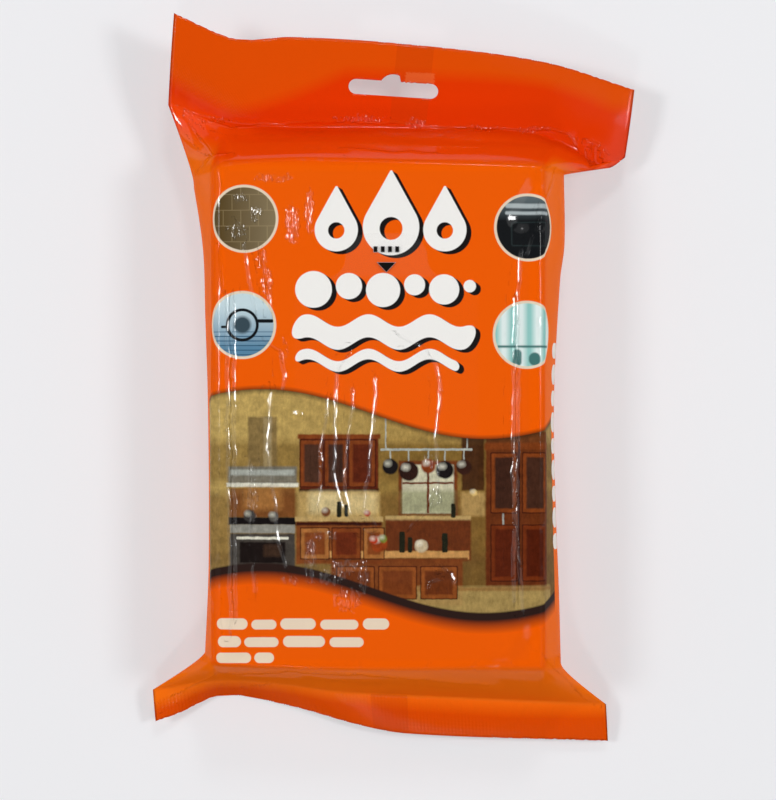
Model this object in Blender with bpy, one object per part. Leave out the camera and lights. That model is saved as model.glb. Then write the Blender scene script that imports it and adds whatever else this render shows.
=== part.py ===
"""A sealed flow-wrap pack of wet wipes, lying on its back.

One web of printed film is wrapped round a folded stack, lapped along the back, and crimped flat at both
ends. The top crimp is a deep header with a hang slot. A clear reclosable label with a pull tab is stuck
over the oval opening in the front. +Z is up and out of the front, +Y runs to the header, and the origin
is on the flat back, under the middle of the stack.
"""

import math

import bmesh
import bpy
from mathutils import Vector

# Folded stack of wipes, in metres
STACK_WIDTH = 0.100
STACK_LENGTH = 0.150
STACK_HEIGHT = 0.0350

# Film wrapper round the stack
FILM_SLACK = 0.0015
FLAT_WIDTH = 0.144
CROWN_RISE = 0.0018
TOP_CORNER_RADIUS = 0.0045
BACK_CORNER_RADIUS = 0.0090
LEAN = -0.0021
CREASE_FROM_SIDE = 0.0080
CREASE_WIDTH = 0.0022
CREASE_RISE = 0.0004
CREASE_DIP = 0.0003
SEALED_THICKNESS = 0.0005

# Crimped ends
HEADER_DEPTH = 0.0265
HEADER_RUN = 0.0135
HEADER_HEIGHT = 0.0168
HEADER_SHIFT = 0.0043
HEADER_SKEW = 0.0026
HEADER_BOW = 0.0012
FOOT_DEPTH = 0.0118
FOOT_RUN = 0.0120
FOOT_HEIGHT = 0.0075
FOOT_SHIFT = -0.0015
FOOT_SKEW = 0.0008
FOOT_BOW = 0.0004
SLOPE_ROUNDING = 0.25

# Lap seal folded flat along the back
LAP_WIDTH = 0.0115
LAP_OFFSET = 0.0030
LAP_STEP = 0.0003
LAP_RAMP = 0.0080

# Hang slot
SLOT_LENGTH = 0.0280
SLOT_HEIGHT = 0.0046
SLOT_HUMP_RADIUS = 0.0045
SLOT_FROM_FOLD = 0.0120
SLOT_SHIFT = -0.0026
SLOT_TURN = -3.5
SLOT_CUTTER_REACH = 0.010

# Clear reclosable label
LABEL_WIDTH = 0.0560
LABEL_LENGTH = 0.0930
LABEL_CENTRE_X = 0.0007
LABEL_CENTRE_Y = -0.0045
LABEL_CORNER = 0.0080
LABEL_THICKNESS = 0.0004
LABEL_GAP = 0.0003
TAB_WIDTH = 0.0250
TAB_LENGTH = 0.0135
TAB_SHOULDER = 0.0060
TAB_STRAIGHT = 0.00015

# Ridge over the die-cut edge of the oval opening
OPENING_WIDTH = 0.0325
OPENING_LENGTH = 0.0592
OPENING_CENTRE_Y = -0.0048
RIDGE_WIDTH = 0.0016
RIDGE_RISE = 0.00025

# Bulge of each side wall: (place along the pack, from -1 at the foot to 1 at the header; metres)
RIGHT_BULGE = (
    (-1.0, 0.0048), (-0.7, 0.0042), (-0.4, 0.0033), (0.05, 0.0027),
    (0.55, 0.0046), (0.7, 0.0060), (1.0, 0.0058),
)
LEFT_BULGE = (
    (-1.0, 0.0036), (-0.6, 0.0022), (0.0, 0.0024), (0.4, 0.0034),
    (0.68, 0.0042), (1.0, 0.0080),
)

# Shape of each end: (place across the film, from -1 left to 1 right; metres from the straight form)
HEADER_SHOULDER = (
    (-1.0, -0.0060), (-0.5, 0.0005), (0.0, 0.0005), (0.7, -0.0010),
    (1.0, -0.0015),
)
HEADER_FOLD_Y = (
    (-1.0, 0.0072), (-0.66, 0.0010), (0.0, 0.0), (0.6, -0.0015),
    (0.8, -0.0075), (0.92, -0.0120), (1.0, -0.0085),
)
HEADER_FOLD_Z = (
    (-1.0, -0.0010), (-0.6, 0.0005), (0.0, 0.0), (0.6, -0.0020),
    (1.0, -0.0085),
)
HEADER_EDGE_Y = (
    (-1.0, 0.0081), (-0.8, 0.0017), (-0.7, 0.0001), (-0.5, 0.0012),
    (0.0, -0.0008), (0.6, -0.0057), (1.0, -0.0140),
)
HEADER_EDGE_Z = (
    (-1.0, 0.0245), (-0.6, 0.0215), (0.0, 0.0195), (0.6, 0.0150),
    (1.0, 0.0115),
)
FOOT_SHOULDER = (
    (-1.0, 0.0030), (-0.6, 0.0005), (0.0, -0.0005), (0.6, 0.0),
    (1.0, -0.0010),
)
FOOT_FOLD_Y = (
    (-1.0, 0.0012), (-0.7, 0.0045), (-0.45, 0.0035), (-0.2, 0.0010),
    (0.0, 0.0), (1.0, -0.0035),
)
FOOT_FOLD_Z = (
    (-1.0, -0.0015), (-0.7, 0.0015), (-0.45, 0.0015), (0.0, 0.0),
    (1.0, -0.0020),
)
FOOT_EDGE_Y = (
    (-1.0, 0.0028), (-0.9, 0.0052), (-0.71, 0.0106), (-0.41, 0.0073),
    (-0.1, 0.0015), (0.1, -0.0010), (1.0, -0.0037),
)
FOOT_EDGE_Z = (
    (-1.0, 0.0052), (-0.7, 0.0010), (-0.45, 0.0012), (-0.1, 0.0040),
    (0.3, 0.0052), (1.0, 0.0032),
)

# Soft folds in the front panel: (from x, y; to x, y; half width; rise)
FOLDS = (
    (-0.036, 0.004, -0.034, -0.056, 0.0030, 0.0005),
    (-0.026, -0.004, -0.025, -0.060, 0.0030, 0.0004),
    (0.038, -0.073, 0.043, -0.066, 0.0030, 0.0010),
    (0.049, 0.070, 0.044, 0.060, 0.0028, -0.0012),
    (-0.048, 0.074, -0.038, 0.064, 0.0030, 0.0006),
    (-0.046, -0.072, -0.036, -0.062, 0.0030, 0.0006),
    (-0.012, 0.072, 0.016, 0.068, 0.0030, -0.0004),
)

# Finishes: colour in linear values, roughness, and how much light the surface stops
FILM_FINISH = ((0.80, 0.115, 0.005), 0.30, 1.0)
LABEL_FINISH = ((0.93, 0.93, 0.93), 0.12, 0.30)
SHARP_EDGE = 40

# Facets
FRONT_STEPS = 12
CORNER_STEPS = 4
SIDE_STEPS = 4
BACK_STEPS = 4
HEADER_STEPS = 7
END_STEPS = 8
BODY_STEPS = 28
FOOT_STEPS = 4
LABEL_GRID = 0.0055
ROUND_STEPS = 6
OVAL_STEPS = 48

# Sizes worked out from those above
PANEL_HALF = STACK_WIDTH / 2 + FILM_SLACK
SHOULDER_Y = STACK_LENGTH / 2 + FILM_SLACK
HALF_FLAT = FLAT_WIDTH / 2
MIDDLE_Z = STACK_HEIGHT * 0.45
LAP_RIGHT = LAP_OFFSET + LAP_WIDTH / 2
LAP_LEFT = LAP_OFFSET - LAP_WIDTH / 2


def clear_scene():
    for thing in list(bpy.data.objects):
        bpy.data.objects.remove(thing)


def blend(a, b, share):
    return a + (b - a) * share


def ease(share):
    return share * share * (3 - 2 * share)


def curve_through(points, at):
    """A smooth curve through (place, value) points, read at one place."""
    at = min(max(at, points[0][0]), points[-1][0])
    last = len(points) - 2
    i = min(last, sum(1 for place, _ in points[1:] if place <= at))
    before = points[max(i - 1, 0)]
    start, end = points[i], points[i + 1]
    after = points[min(i + 2, last + 1)]
    step = end[0] - start[0]
    slope_in = (end[1] - before[1]) / (end[0] - before[0]) * step
    slope_out = (after[1] - start[1]) / (after[0] - start[0]) * step
    t = (at - start[0]) / step
    return (
        (2 * t**3 - 3 * t**2 + 1) * start[1]
        + (t**3 - 2 * t**2 + t) * slope_in
        + (3 * t**2 - 2 * t**3) * end[1]
        + (t**3 - t**2) * slope_out
    )


def front_height(x, y):
    """Height of the front panel: a low crown over the stack."""
    across = min(abs(x) / PANEL_HALF, 1)
    along = min(abs(y) / SHOULDER_Y, 1)
    height = STACK_HEIGHT + CROWN_RISE * (1 - across**2) * (1 - along**4)
    return height + sum(fold_rise(fold, x, y) for fold in FOLDS)


def fold_rise(fold, x, y):
    """Height that one fold adds: full along its line, and fading out round it."""
    start_x, start_y, end_x, end_y, half_width, rise = fold
    run_x, run_y = end_x - start_x, end_y - start_y
    share = ((x - start_x) * run_x + (y - start_y) * run_y) / (run_x**2 + run_y**2)
    share = min(max(share, 0), 1)
    away = math.hypot(x - start_x - run_x * share, y - start_y - run_y * share)
    return rise * ease(max(1 - away / half_width / 2, 0))


def side_bulge(side, y):
    return curve_through(RIGHT_BULGE if side > 0 else LEFT_BULGE, y / SHOULDER_Y)


def lean(z):
    """The top of the stack has slid a little to one side."""
    return LEAN * z / STACK_HEIGHT


def half_section(lap_edge):
    """Places round one side of the tube, from the front middle to the edge of the lap on the back.

    Each is (film, region, where): the distance along the film from the middle of its face, the part of
    the section, and the place inside that part. The side fold is where the film distance is HALF_FLAT.
    """
    flat = PANEL_HALF - TOP_CORNER_RADIUS
    crease = PANEL_HALF - CREASE_FROM_SIDE
    dip = crease - CREASE_WIDTH
    places = [(dip * i / FRONT_STEPS, "front", dip * i / FRONT_STEPS) for i in range(FRONT_STEPS)]
    places.append((dip, "dip", dip))
    places.append((crease, "crease", crease))
    for i in range(CORNER_STEPS + 1):
        turn = math.pi / 2 * i / CORNER_STEPS
        places.append((flat + TOP_CORNER_RADIUS * turn, "top_corner", turn))
    start = flat + TOP_CORNER_RADIUS * math.pi / 2
    for i in range(1, SIDE_STEPS + 1):
        places.append((blend(start, HALF_FLAT, i / SIDE_STEPS), "upper_side", i / SIDE_STEPS))
    back_flat = PANEL_HALF - BACK_CORNER_RADIUS
    back_start = back_flat + BACK_CORNER_RADIUS * math.pi / 2
    for i in range(1, SIDE_STEPS):
        places.append((blend(HALF_FLAT, back_start, i / SIDE_STEPS), "lower_side", i / SIDE_STEPS))
    for i in range(CORNER_STEPS + 1):
        turn = math.pi / 2 * (1 - i / CORNER_STEPS)
        places.append((back_flat + BACK_CORNER_RADIUS * turn, "back_corner", turn))
    for i in range(1, BACK_STEPS + 1):
        away = blend(back_flat, lap_edge + LAP_RAMP, i / BACK_STEPS)
        places.append((away, "back", away))
    for away in (lap_edge + LAP_RAMP / 2, lap_edge + LAP_STEP):
        places.append((away, "back", away))
    places.append((lap_edge, "lap", lap_edge))
    return places


def body_point(side, place, y):
    """A place on the section round the stack at y."""
    _, region, where = place
    bulge = side_bulge(side, y)
    if region in ("front", "dip", "crease"):
        x = where
        z = front_height(side * x, y)
        z += {"front": 0, "dip": -CREASE_DIP, "crease": CREASE_RISE}[region]
    elif region == "top_corner":
        x = PANEL_HALF - TOP_CORNER_RADIUS * (1 - math.sin(where))
        z = front_height(side * x, y) - TOP_CORNER_RADIUS * (1 - math.cos(where))
    elif region == "upper_side":
        z = blend(front_height(side * PANEL_HALF, y) - TOP_CORNER_RADIUS, MIDDLE_Z, where)
        x = PANEL_HALF + bulge * math.sin(math.pi / 2 * where)
    elif region == "lower_side":
        z = blend(MIDDLE_Z, BACK_CORNER_RADIUS, where)
        x = PANEL_HALF + bulge * math.cos(math.pi / 2 * where)
    elif region == "back_corner":
        x = PANEL_HALF - BACK_CORNER_RADIUS * (1 - math.sin(where))
        z = BACK_CORNER_RADIUS * (1 - math.cos(where))
    else:
        x = where
        away = where - (LAP_RIGHT if side > 0 else -LAP_LEFT)
        z = LAP_STEP * ease(1 - min(away / LAP_RAMP, 1)) if region == "back" else 0
    return Vector((side * x + lean(z), y, z))


def half_thickness(place):
    """Half of the sealed flap's thickness, with the lap's extra film on its back face."""
    film, region, _ = place
    if film == HALF_FLAT:
        return 0.0
    if region in ("front", "dip", "crease", "top_corner", "upper_side"):
        return SEALED_THICKNESS / 2
    return -SEALED_THICKNESS / 2 - (LAP_STEP if region == "lap" else 0.0)


class End:
    """One crimped end: film leaves the stack at the shoulder, and is sealed from the fold to its cut edge."""

    def __init__(self, toward, sizes, curves):
        self.toward = toward
        self.depth, self.run, self.height, self.shift, self.skew, self.bow = sizes
        self.shoulder, self.fold_y, self.fold_z, self.edge_y, self.edge_z = curves

    def shoulder_y(self, across):
        return self.toward * SHOULDER_Y + curve_through(self.shoulder, across)

    def fin_middle(self, film, share):
        """A place in the middle of the sealed flap, from its fold at share 0 to its cut edge at share 1."""
        across = film / HALF_FLAT
        y = self.toward * (SHOULDER_Y + self.run) + curve_through(self.fold_y, across)
        edge_y = self.toward * (SHOULDER_Y + self.run + self.depth) + curve_through(self.edge_y, across)
        z = self.height + curve_through(self.fold_z, across)
        edge_z = curve_through(self.edge_z, across)
        rise = self.bow * math.sin(math.pi * share)
        x = film + self.shift + self.skew * share
        return Vector((x, blend(y, edge_y, share), blend(z, edge_z, share) + rise))

    def fin_point(self, side, place, share):
        return self.fin_middle(side * place[0], share) + Vector((0, 0, half_thickness(place)))

    def slope_point(self, side, place, share):
        """A place on the film between the stack at share 0 and the fold at share 1."""
        start = body_point(side, place, self.shoulder_y(side * place[0] / HALF_FLAT))
        end = self.fin_point(side, place, 0)
        fall = share * share / (share + SLOPE_ROUNDING) * (1 + SLOPE_ROUNDING)
        return Vector((
            blend(start.x, end.x, fall),
            blend(start.y, end.y, share),
            blend(start.z, end.z, fall),
        ))


HEADER = End(
    1,
    (HEADER_DEPTH, HEADER_RUN, HEADER_HEIGHT, HEADER_SHIFT, HEADER_SKEW, HEADER_BOW),
    (HEADER_SHOULDER, HEADER_FOLD_Y, HEADER_FOLD_Z, HEADER_EDGE_Y, HEADER_EDGE_Z),
)
FOOT = End(
    -1,
    (FOOT_DEPTH, FOOT_RUN, FOOT_HEIGHT, FOOT_SHIFT, FOOT_SKEW, FOOT_BOW),
    (FOOT_SHOULDER, FOOT_FOLD_Y, FOOT_FOLD_Z, FOOT_EDGE_Y, FOOT_EDGE_Z),
)


def body_row_point(side, place, share):
    across = side * place[0] / HALF_FLAT
    return body_point(side, place, blend(HEADER.shoulder_y(across), FOOT.shoulder_y(across), share))


def film_rows():
    """The rings of the tube from the header's cut edge to the foot's, each as (its function, its share)."""
    rows = [(HEADER.fin_point, 1 - i / HEADER_STEPS) for i in range(HEADER_STEPS)]
    rows += [(HEADER.slope_point, 1 - i / END_STEPS) for i in range(END_STEPS)]
    rows += [(body_row_point, i / BODY_STEPS) for i in range(BODY_STEPS + 1)]
    rows += [(FOOT.slope_point, i / END_STEPS) for i in range(1, END_STEPS + 1)]
    rows += [(FOOT.fin_point, i / FOOT_STEPS) for i in range(1, FOOT_STEPS + 1)]
    return rows


def close_cut_edge(mesh, ring, right_fold, left_fold):
    """Fills the thin strip between the two faces of film at a cut edge."""
    count = len(ring)
    front = [ring[i] for i in range(right_fold, -1, -1)]
    front += [ring[i] for i in range(count - 1, left_fold - 1, -1)]
    back = [ring[i] for i in range(right_fold, left_fold + 1)]
    i = j = 0
    while i < len(front) - 1 or j < len(back) - 1:
        on_front = j == len(back) - 1 or (i < len(front) - 1 and front[i + 1].co.x > back[j + 1].co.x)
        corners = [front[i], back[j], front[i + 1] if on_front else back[j + 1]]
        if len(set(corners)) == 3:
            mesh.faces.new(corners)
        if on_front:
            i += 1
        else:
            j += 1


def make_film():
    """The wrapper with the stack sealed inside, as one closed body: rings of film joined into a tube."""
    right = [(1, place) for place in half_section(LAP_RIGHT)]
    left = [(-1, place) for place in half_section(-LAP_LEFT)]
    ring = right + list(reversed(left[1:]))
    folds = [i for i, (_, place) in enumerate(ring) if place[0] == HALF_FLAT]
    mesh = bmesh.new()
    rings = []
    for row, share in film_rows():
        rings.append([mesh.verts.new(row(side, place, share)) for side, place in ring])
    count = len(ring)
    for upper, lower in zip(rings, rings[1:]):
        for i in range(count):
            j = (i + 1) % count
            mesh.faces.new((upper[i], upper[j], lower[j], lower[i]))
    close_cut_edge(mesh, rings[0], *folds)
    close_cut_edge(mesh, rings[-1], *folds)
    bmesh.ops.recalc_face_normals(mesh, faces=mesh.faces)
    return add_object("wipes_pack", mesh, make_finish("printed_film", FILM_FINISH))


def make_finish(name, values):
    """A glossy plastic, clear where it stops only part of the light."""
    colour, roughness, cover = values
    material = bpy.data.materials.new(name)
    material.use_nodes = True
    material.diffuse_color = (*colour, cover)
    shader = material.node_tree.nodes["Principled BSDF"]
    shader.inputs["Base Color"].default_value = (*colour, 1)
    shader.inputs["Roughness"].default_value = roughness
    shader.inputs["Metallic"].default_value = 0
    shader.inputs["Alpha"].default_value = cover
    return material


def add_object(name, mesh, finish=None):
    data = bpy.data.meshes.new(name)
    mesh.to_mesh(data)
    mesh.free()
    if finish:
        data.materials.append(finish)
        data.shade_smooth()
        data.set_sharp_from_angle(angle=math.radians(SHARP_EDGE))
    thing = bpy.data.objects.new(name, data)
    bpy.context.collection.objects.link(thing)
    return thing


def arc(centre, radius, start, end, steps):
    """Points on an arc about centre, with its angles in degrees."""
    angles = [math.radians(blend(start, end, i / steps)) for i in range(steps + 1)]
    return [(centre[0] + radius * math.cos(a), centre[1] + radius * math.sin(a)) for a in angles]


def slot_outline():
    """A bar with round ends and a round hump in the middle of its upper edge."""
    radius = SLOT_HEIGHT / 2
    reach = SLOT_LENGTH / 2 - radius
    rise = math.degrees(math.asin(radius / SLOT_HUMP_RADIUS))
    points = arc((reach, 0), radius, -90, 90, 2 * ROUND_STEPS)
    points += arc((0, 0), SLOT_HUMP_RADIUS, rise, 180 - rise, 2 * ROUND_STEPS)
    points += arc((-reach, 0), radius, 90, 270, 2 * ROUND_STEPS)
    return points


def cut(thing, cutter):
    cutter.hide_render = True
    cutter.display_type = "WIRE"
    boolean = thing.modifiers.new(cutter.name, "BOOLEAN")
    boolean.operation = "DIFFERENCE"
    boolean.solver = "EXACT"
    boolean.object = cutter


def make_slot_cutter():
    """A prism through the header, shaped like the hang slot."""
    middle = HEADER.fin_middle(SLOT_SHIFT, SLOT_FROM_FOLD / HEADER_DEPTH)
    turn = math.radians(SLOT_TURN)
    mesh = bmesh.new()
    base = []
    for x, y in slot_outline():
        at_x = middle.x + x * math.cos(turn) - y * math.sin(turn)
        at_y = middle.y + x * math.sin(turn) + y * math.cos(turn)
        base.append(mesh.verts.new((at_x, at_y, middle.z - SLOT_CUTTER_REACH)))
    mesh.faces.new(base)
    extrude_up(mesh, 2 * SLOT_CUTTER_REACH)
    return add_object("hang_slot_cutter", mesh)


def extrude_up(mesh, thickness):
    """Gives a flat sheet its thickness."""
    lifted = bmesh.ops.extrude_face_region(mesh, geom=list(mesh.faces))["geom"]
    verts = [v for v in lifted if isinstance(v, bmesh.types.BMVert)]
    bmesh.ops.translate(mesh, vec=(0, 0, thickness), verts=verts)
    bmesh.ops.recalc_face_normals(mesh, faces=mesh.faces)


def label_outline():
    """Outline of the label, anticlockwise: a rounded rectangle with a bell-shaped tab on its top edge."""
    half = LABEL_WIDTH / 2 - LABEL_CORNER
    bottom = LABEL_CENTRE_Y - LABEL_LENGTH / 2
    top = LABEL_CENTRE_Y + LABEL_LENGTH / 2
    tab_half = TAB_WIDTH / 2
    tab_round = min(tab_half, TAB_LENGTH - TAB_SHOULDER) - TAB_STRAIGHT
    points = arc((half, bottom + LABEL_CORNER), LABEL_CORNER, -90, 0, ROUND_STEPS)
    points += arc((half, top - LABEL_CORNER), LABEL_CORNER, 0, 90, ROUND_STEPS)
    points += arc((tab_half + TAB_SHOULDER, top + TAB_SHOULDER), TAB_SHOULDER, 270, 180, ROUND_STEPS)
    points += arc((tab_half - tab_round, top + TAB_LENGTH - tab_round), tab_round, 0, 90, ROUND_STEPS)
    left = [(-x, y) for x, y in reversed(points)]
    return [(x + LABEL_CENTRE_X, y) for x, y in points + left]


def label_base(x, y):
    """Height of the label's underside."""
    return front_height(x - lean(STACK_HEIGHT), y) + LABEL_GAP


def make_label():
    """A thin sheet that follows the crown of the front panel."""
    mesh = bmesh.new()
    mesh.faces.new([mesh.verts.new((x, y, 0)) for x, y in label_outline()])
    for axis, low, high in ((0, -LABEL_WIDTH, LABEL_WIDTH), (1, -LABEL_LENGTH, LABEL_LENGTH)):
        for i in range(math.ceil((high - low) / LABEL_GRID)):
            point = [0, 0, 0]
            normal = [0, 0, 0]
            point[axis] = low + i * LABEL_GRID
            normal[axis] = 1
            parts = list(mesh.verts) + list(mesh.edges) + list(mesh.faces)
            bmesh.ops.bisect_plane(mesh, geom=parts, plane_co=point, plane_no=normal, dist=1e-6)
    for vert in mesh.verts:
        vert.co.z = label_base(vert.co.x, vert.co.y)
    extrude_up(mesh, LABEL_THICKNESS)
    return add_object("opening_label", mesh, make_finish("clear_label", LABEL_FINISH))


def make_ridge():
    """A low roof-shaped ring in the label, where it lies over the oval die-cut in the film."""
    mesh = bmesh.new()
    rings = []
    for i in range(OVAL_STEPS):
        angle = 2 * math.pi * i / OVAL_STEPS
        ring = []
        for out, height in ((-RIDGE_WIDTH / 2, 0.5), (0, None), (RIDGE_WIDTH / 2, 0.5)):
            x = LABEL_CENTRE_X + (OPENING_WIDTH / 2 + out) * math.cos(angle)
            y = OPENING_CENTRE_Y + (OPENING_LENGTH / 2 + out) * math.sin(angle)
            lift = LABEL_THICKNESS + RIDGE_RISE if height is None else LABEL_THICKNESS * height
            ring.append(mesh.verts.new((x, y, label_base(x, y) + lift)))
        rings.append(ring)
    for here, there in zip(rings, rings[1:] + rings[:1]):
        for i in range(3):
            j = (i + 1) % 3
            mesh.faces.new((here[i], here[j], there[j], there[i]))
    bmesh.ops.recalc_face_normals(mesh, faces=mesh.faces)
    return add_object("opening_ridge", mesh)


def join(thing, other):
    other.hide_render = True
    other.display_type = "WIRE"
    boolean = thing.modifiers.new(other.name, "BOOLEAN")
    boolean.operation = "UNION"
    boolean.solver = "EXACT"
    boolean.object = other


def main():
    clear_scene()
    cut(make_film(), make_slot_cutter())
    join(make_label(), make_ridge())


main()
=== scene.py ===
"""Looks of a sealed pack of wet wipes.

The film is crumpled, glossy and printed, and a clear label lies over its opening.
"""

import math

import bmesh
import bpy
import numpy as np
from bpy.props import FloatProperty, FloatVectorProperty, PointerProperty
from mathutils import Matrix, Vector, noise


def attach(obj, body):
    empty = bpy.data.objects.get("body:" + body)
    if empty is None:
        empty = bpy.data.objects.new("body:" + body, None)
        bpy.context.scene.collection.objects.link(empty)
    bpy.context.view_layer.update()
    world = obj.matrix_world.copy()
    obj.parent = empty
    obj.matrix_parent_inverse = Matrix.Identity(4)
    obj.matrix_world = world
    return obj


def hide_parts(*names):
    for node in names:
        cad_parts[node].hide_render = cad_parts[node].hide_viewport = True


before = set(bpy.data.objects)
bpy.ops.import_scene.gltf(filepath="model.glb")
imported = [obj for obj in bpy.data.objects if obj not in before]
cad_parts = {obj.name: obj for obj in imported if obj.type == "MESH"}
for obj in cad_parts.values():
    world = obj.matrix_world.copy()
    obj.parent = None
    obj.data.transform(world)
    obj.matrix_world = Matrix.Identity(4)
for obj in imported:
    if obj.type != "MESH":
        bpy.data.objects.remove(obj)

bl_info = {
    "name": "Wet wipes pack",
    "version": (1, 0, 0),
    "blender": (4, 5, 0),
    "location": "View3D > Sidebar > Wipes pack",
    "description": "Makes the film wrapper, the clear label and the stage of a pack of wet wipes",
    "category": "Object",
}

MM = 0.001

# Folded stack of wipes, in metres
STACK_WIDTH = 0.100
STACK_LENGTH = 0.150
STACK_HEIGHT = 0.0350

# Film wrapper round the stack
FILM_SLACK = 0.0015
HALF_FLAT = 0.072
CROWN_RISE = 0.0018
RIGHT_CORNER_RADIUS = 0.0022
LEFT_CORNER_RADIUS = 0.0042
BACK_CORNER_RADIUS = 0.0090
LEAN = -0.0021
SLOPE_ROUNDING = 0.25

# Lap seal folded flat along the back
LAP_WIDTH = 0.0115
LAP_OFFSET = 0.0030
LAP_STEP = 0.0003
LAP_RAMP = 0.0080

# Bulge of each side wall: (place along the pack, from -1 at the foot to 1 at the header; metres)
RIGHT_BULGE = (
    (-1.0, 0.0048), (-0.7, 0.0042), (-0.4, 0.0033), (0.05, 0.0027),
    (0.55, 0.0046), (0.7, 0.0060), (1.0, 0.0058),
)
LEFT_BULGE = (
    (-1.0, 0.0036), (-0.6, 0.0022), (0.0, 0.0024), (0.4, 0.0034),
    (0.68, 0.0042), (1.0, 0.0080),
)

# Crimped ends, in metres. Each curve gives (place across the film, from -1 left to 1 right; distance from the
# straight form)
HEADER_SIZES = {
    "depth": 0.0265, "run": 0.0135, "height": 0.0168, "shift": 0.0043, "skew": 0.0026, "bow": 0.0012,
}
HEADER_CURVES = {
    "shoulder": ((-1.0, -0.0060), (-0.5, 0.0005), (0.0, 0.0005), (0.7, -0.0010), (1.0, -0.0015)),
    "fold_y": (
        (-1.0, 0.0072), (-0.66, 0.0010), (0.0, 0.0), (0.6, -0.0015),
        (0.8, -0.0075), (0.92, -0.0120), (1.0, -0.0085),
    ),
    "fold_z": ((-1.0, -0.0010), (-0.6, 0.0005), (0.0, 0.0), (0.6, -0.0020), (1.0, -0.0085)),
    "edge_y": (
        (-1.0, 0.0081), (-0.8, 0.0017), (-0.7, 0.0001), (-0.5, 0.0012),
        (0.0, -0.0008), (0.6, -0.0057), (1.0, -0.0140),
    ),
    "edge_z": ((-1.0, 0.0245), (-0.6, 0.0215), (0.0, 0.0195), (0.6, 0.0150), (1.0, 0.0115)),
}
FOOT_SIZES = {
    "depth": 0.0118, "run": 0.0120, "height": 0.0075, "shift": -0.0015, "skew": 0.0008, "bow": 0.0004,
}
FOOT_CURVES = {
    "shoulder": ((-1.0, 0.0030), (-0.6, 0.0005), (0.0, -0.0005), (0.6, 0.0), (1.0, -0.0010)),
    "fold_y": (
        (-1.0, 0.0012), (-0.7, 0.0045), (-0.45, 0.0035), (-0.2, 0.0010),
        (0.0, 0.0), (1.0, -0.0035),
    ),
    "fold_z": ((-1.0, -0.0015), (-0.7, 0.0015), (-0.45, 0.0015), (0.0, 0.0), (1.0, -0.0020)),
    "edge_y": (
        (-1.0, 0.0028), (-0.9, 0.0052), (-0.71, 0.0106), (-0.41, 0.0073),
        (-0.1, 0.0015), (0.1, -0.0010), (1.0, -0.0037),
    ),
    "edge_z": (
        (-1.0, 0.0052), (-0.7, 0.0010), (-0.45, 0.0012), (-0.1, 0.0040),
        (0.3, 0.0052), (1.0, 0.0032),
    ),
}

# Soft folds in the front panel: (from x, y; to x, y; half width; rise)
FOLDS = (
    (-0.036, 0.004, -0.034, -0.056, 0.0030, 0.0005),
    (-0.026, -0.004, -0.025, -0.060, 0.0030, 0.0004),
    (0.038, -0.073, 0.043, -0.066, 0.0030, 0.0010),
    (0.049, 0.070, 0.044, 0.060, 0.0028, -0.0012),
    (-0.048, 0.074, -0.038, 0.064, 0.0030, 0.0006),
    (-0.046, -0.072, -0.036, -0.062, 0.0030, 0.0006),
    (-0.012, 0.072, 0.016, 0.068, 0.0030, -0.0004),
)

# Creases that catch the light, in millimetres: (strength, points that the crease runs through)
PANEL_CREASES = (
    (1.0, ((-48.2, 37), (-47.8, 0), (-47.2, -40), (-46.6, -66))),
    (0.9, ((-45.9, 36), (-45.7, -10), (-45.3, -62))),
    (0.9, ((-50.2, 50), (-49.3, 38))),
    (1.1, ((-42.8, 52), (-41.2, 41), (-39.3, 32))),
    (1.1, ((-38.0, 50), (-36.8, 45.5), (-35.6, 40), (-34.4, 32))),
    (1.0, ((-44.6, 58.5), (-42.5, 54))),
    (0.9, ((-36.2, 23), (-34.5, 21.5), (-31.2, 19), (-30.4, 12), (-30.6, 8))),
    (1.0, (
        (-34.8, 7), (-34.8, -2), (-35.4, -10), (-34.5, -18), (-33.2, -26), (-32.3, -38), (-30, -46),
        (-27, -50),
    )),
    (1.1, ((-40.8, -15), (-40.4, -22), (-39.6, -30), (-40.8, -38))),
    (1.0, ((-39.4, -46), (-39.1, -54))),
    (1.0, ((41.8, 50), (41.0, 37), (40.8, 0), (40.6, -40), (42.4, -60))),
    (0.8, ((39.8, 36), (39.5, -5), (39.6, -57))),
    (1.2, ((52.5, 74), (50.5, 68), (47.9, 61.4), (46.4, 56))),
    (0.9, ((45.5, 55), (43.6, 49))),
)
OPENING_CREASES = (
    (1.0, (
        (-14.2, 13), (-14.7, 7.7), (-15.1, -11.8), (-14.9, -21.5), (-12.5, -28.2), (-9, -32.5), (-4.3, -35.7),
    )),
    (0.7, ((-10.4, 19.3), (-14.2, 13))),
    (0.8, ((-17.1, 5), (-17.7, -2), (-19.4, -9.3), (-19.2, -15.4), (-19.8, -28))),
    (0.8, ((-9.4, 8), (-9.7, 2), (-10.6, -4), (-11.6, -14), (-12.1, -23), (-10.4, -30.7))),
    (0.9, ((-2.6, 11), (-3.1, 1), (-3.9, -8), (-4.8, -18), (-6.1, -28), (-3, -33))),
    (0.8, ((4.9, 24.5), (11.9, 21.2), (15.3, 16.3), (17, 11), (16.8, 3))),
    (1.1, ((16.8, 3), (15.8, -6), (16.2, -14), (16.8, -21.5), (15.2, -27.3), (7.9, -34.3))),
    (0.7, ((18.2, -46.5), (20.6, -48), (21.2, -51.5))),
    (0.7, ((13.8, -52.6), (14.2, -50.6), (16.2, -50.2))),
)
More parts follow.
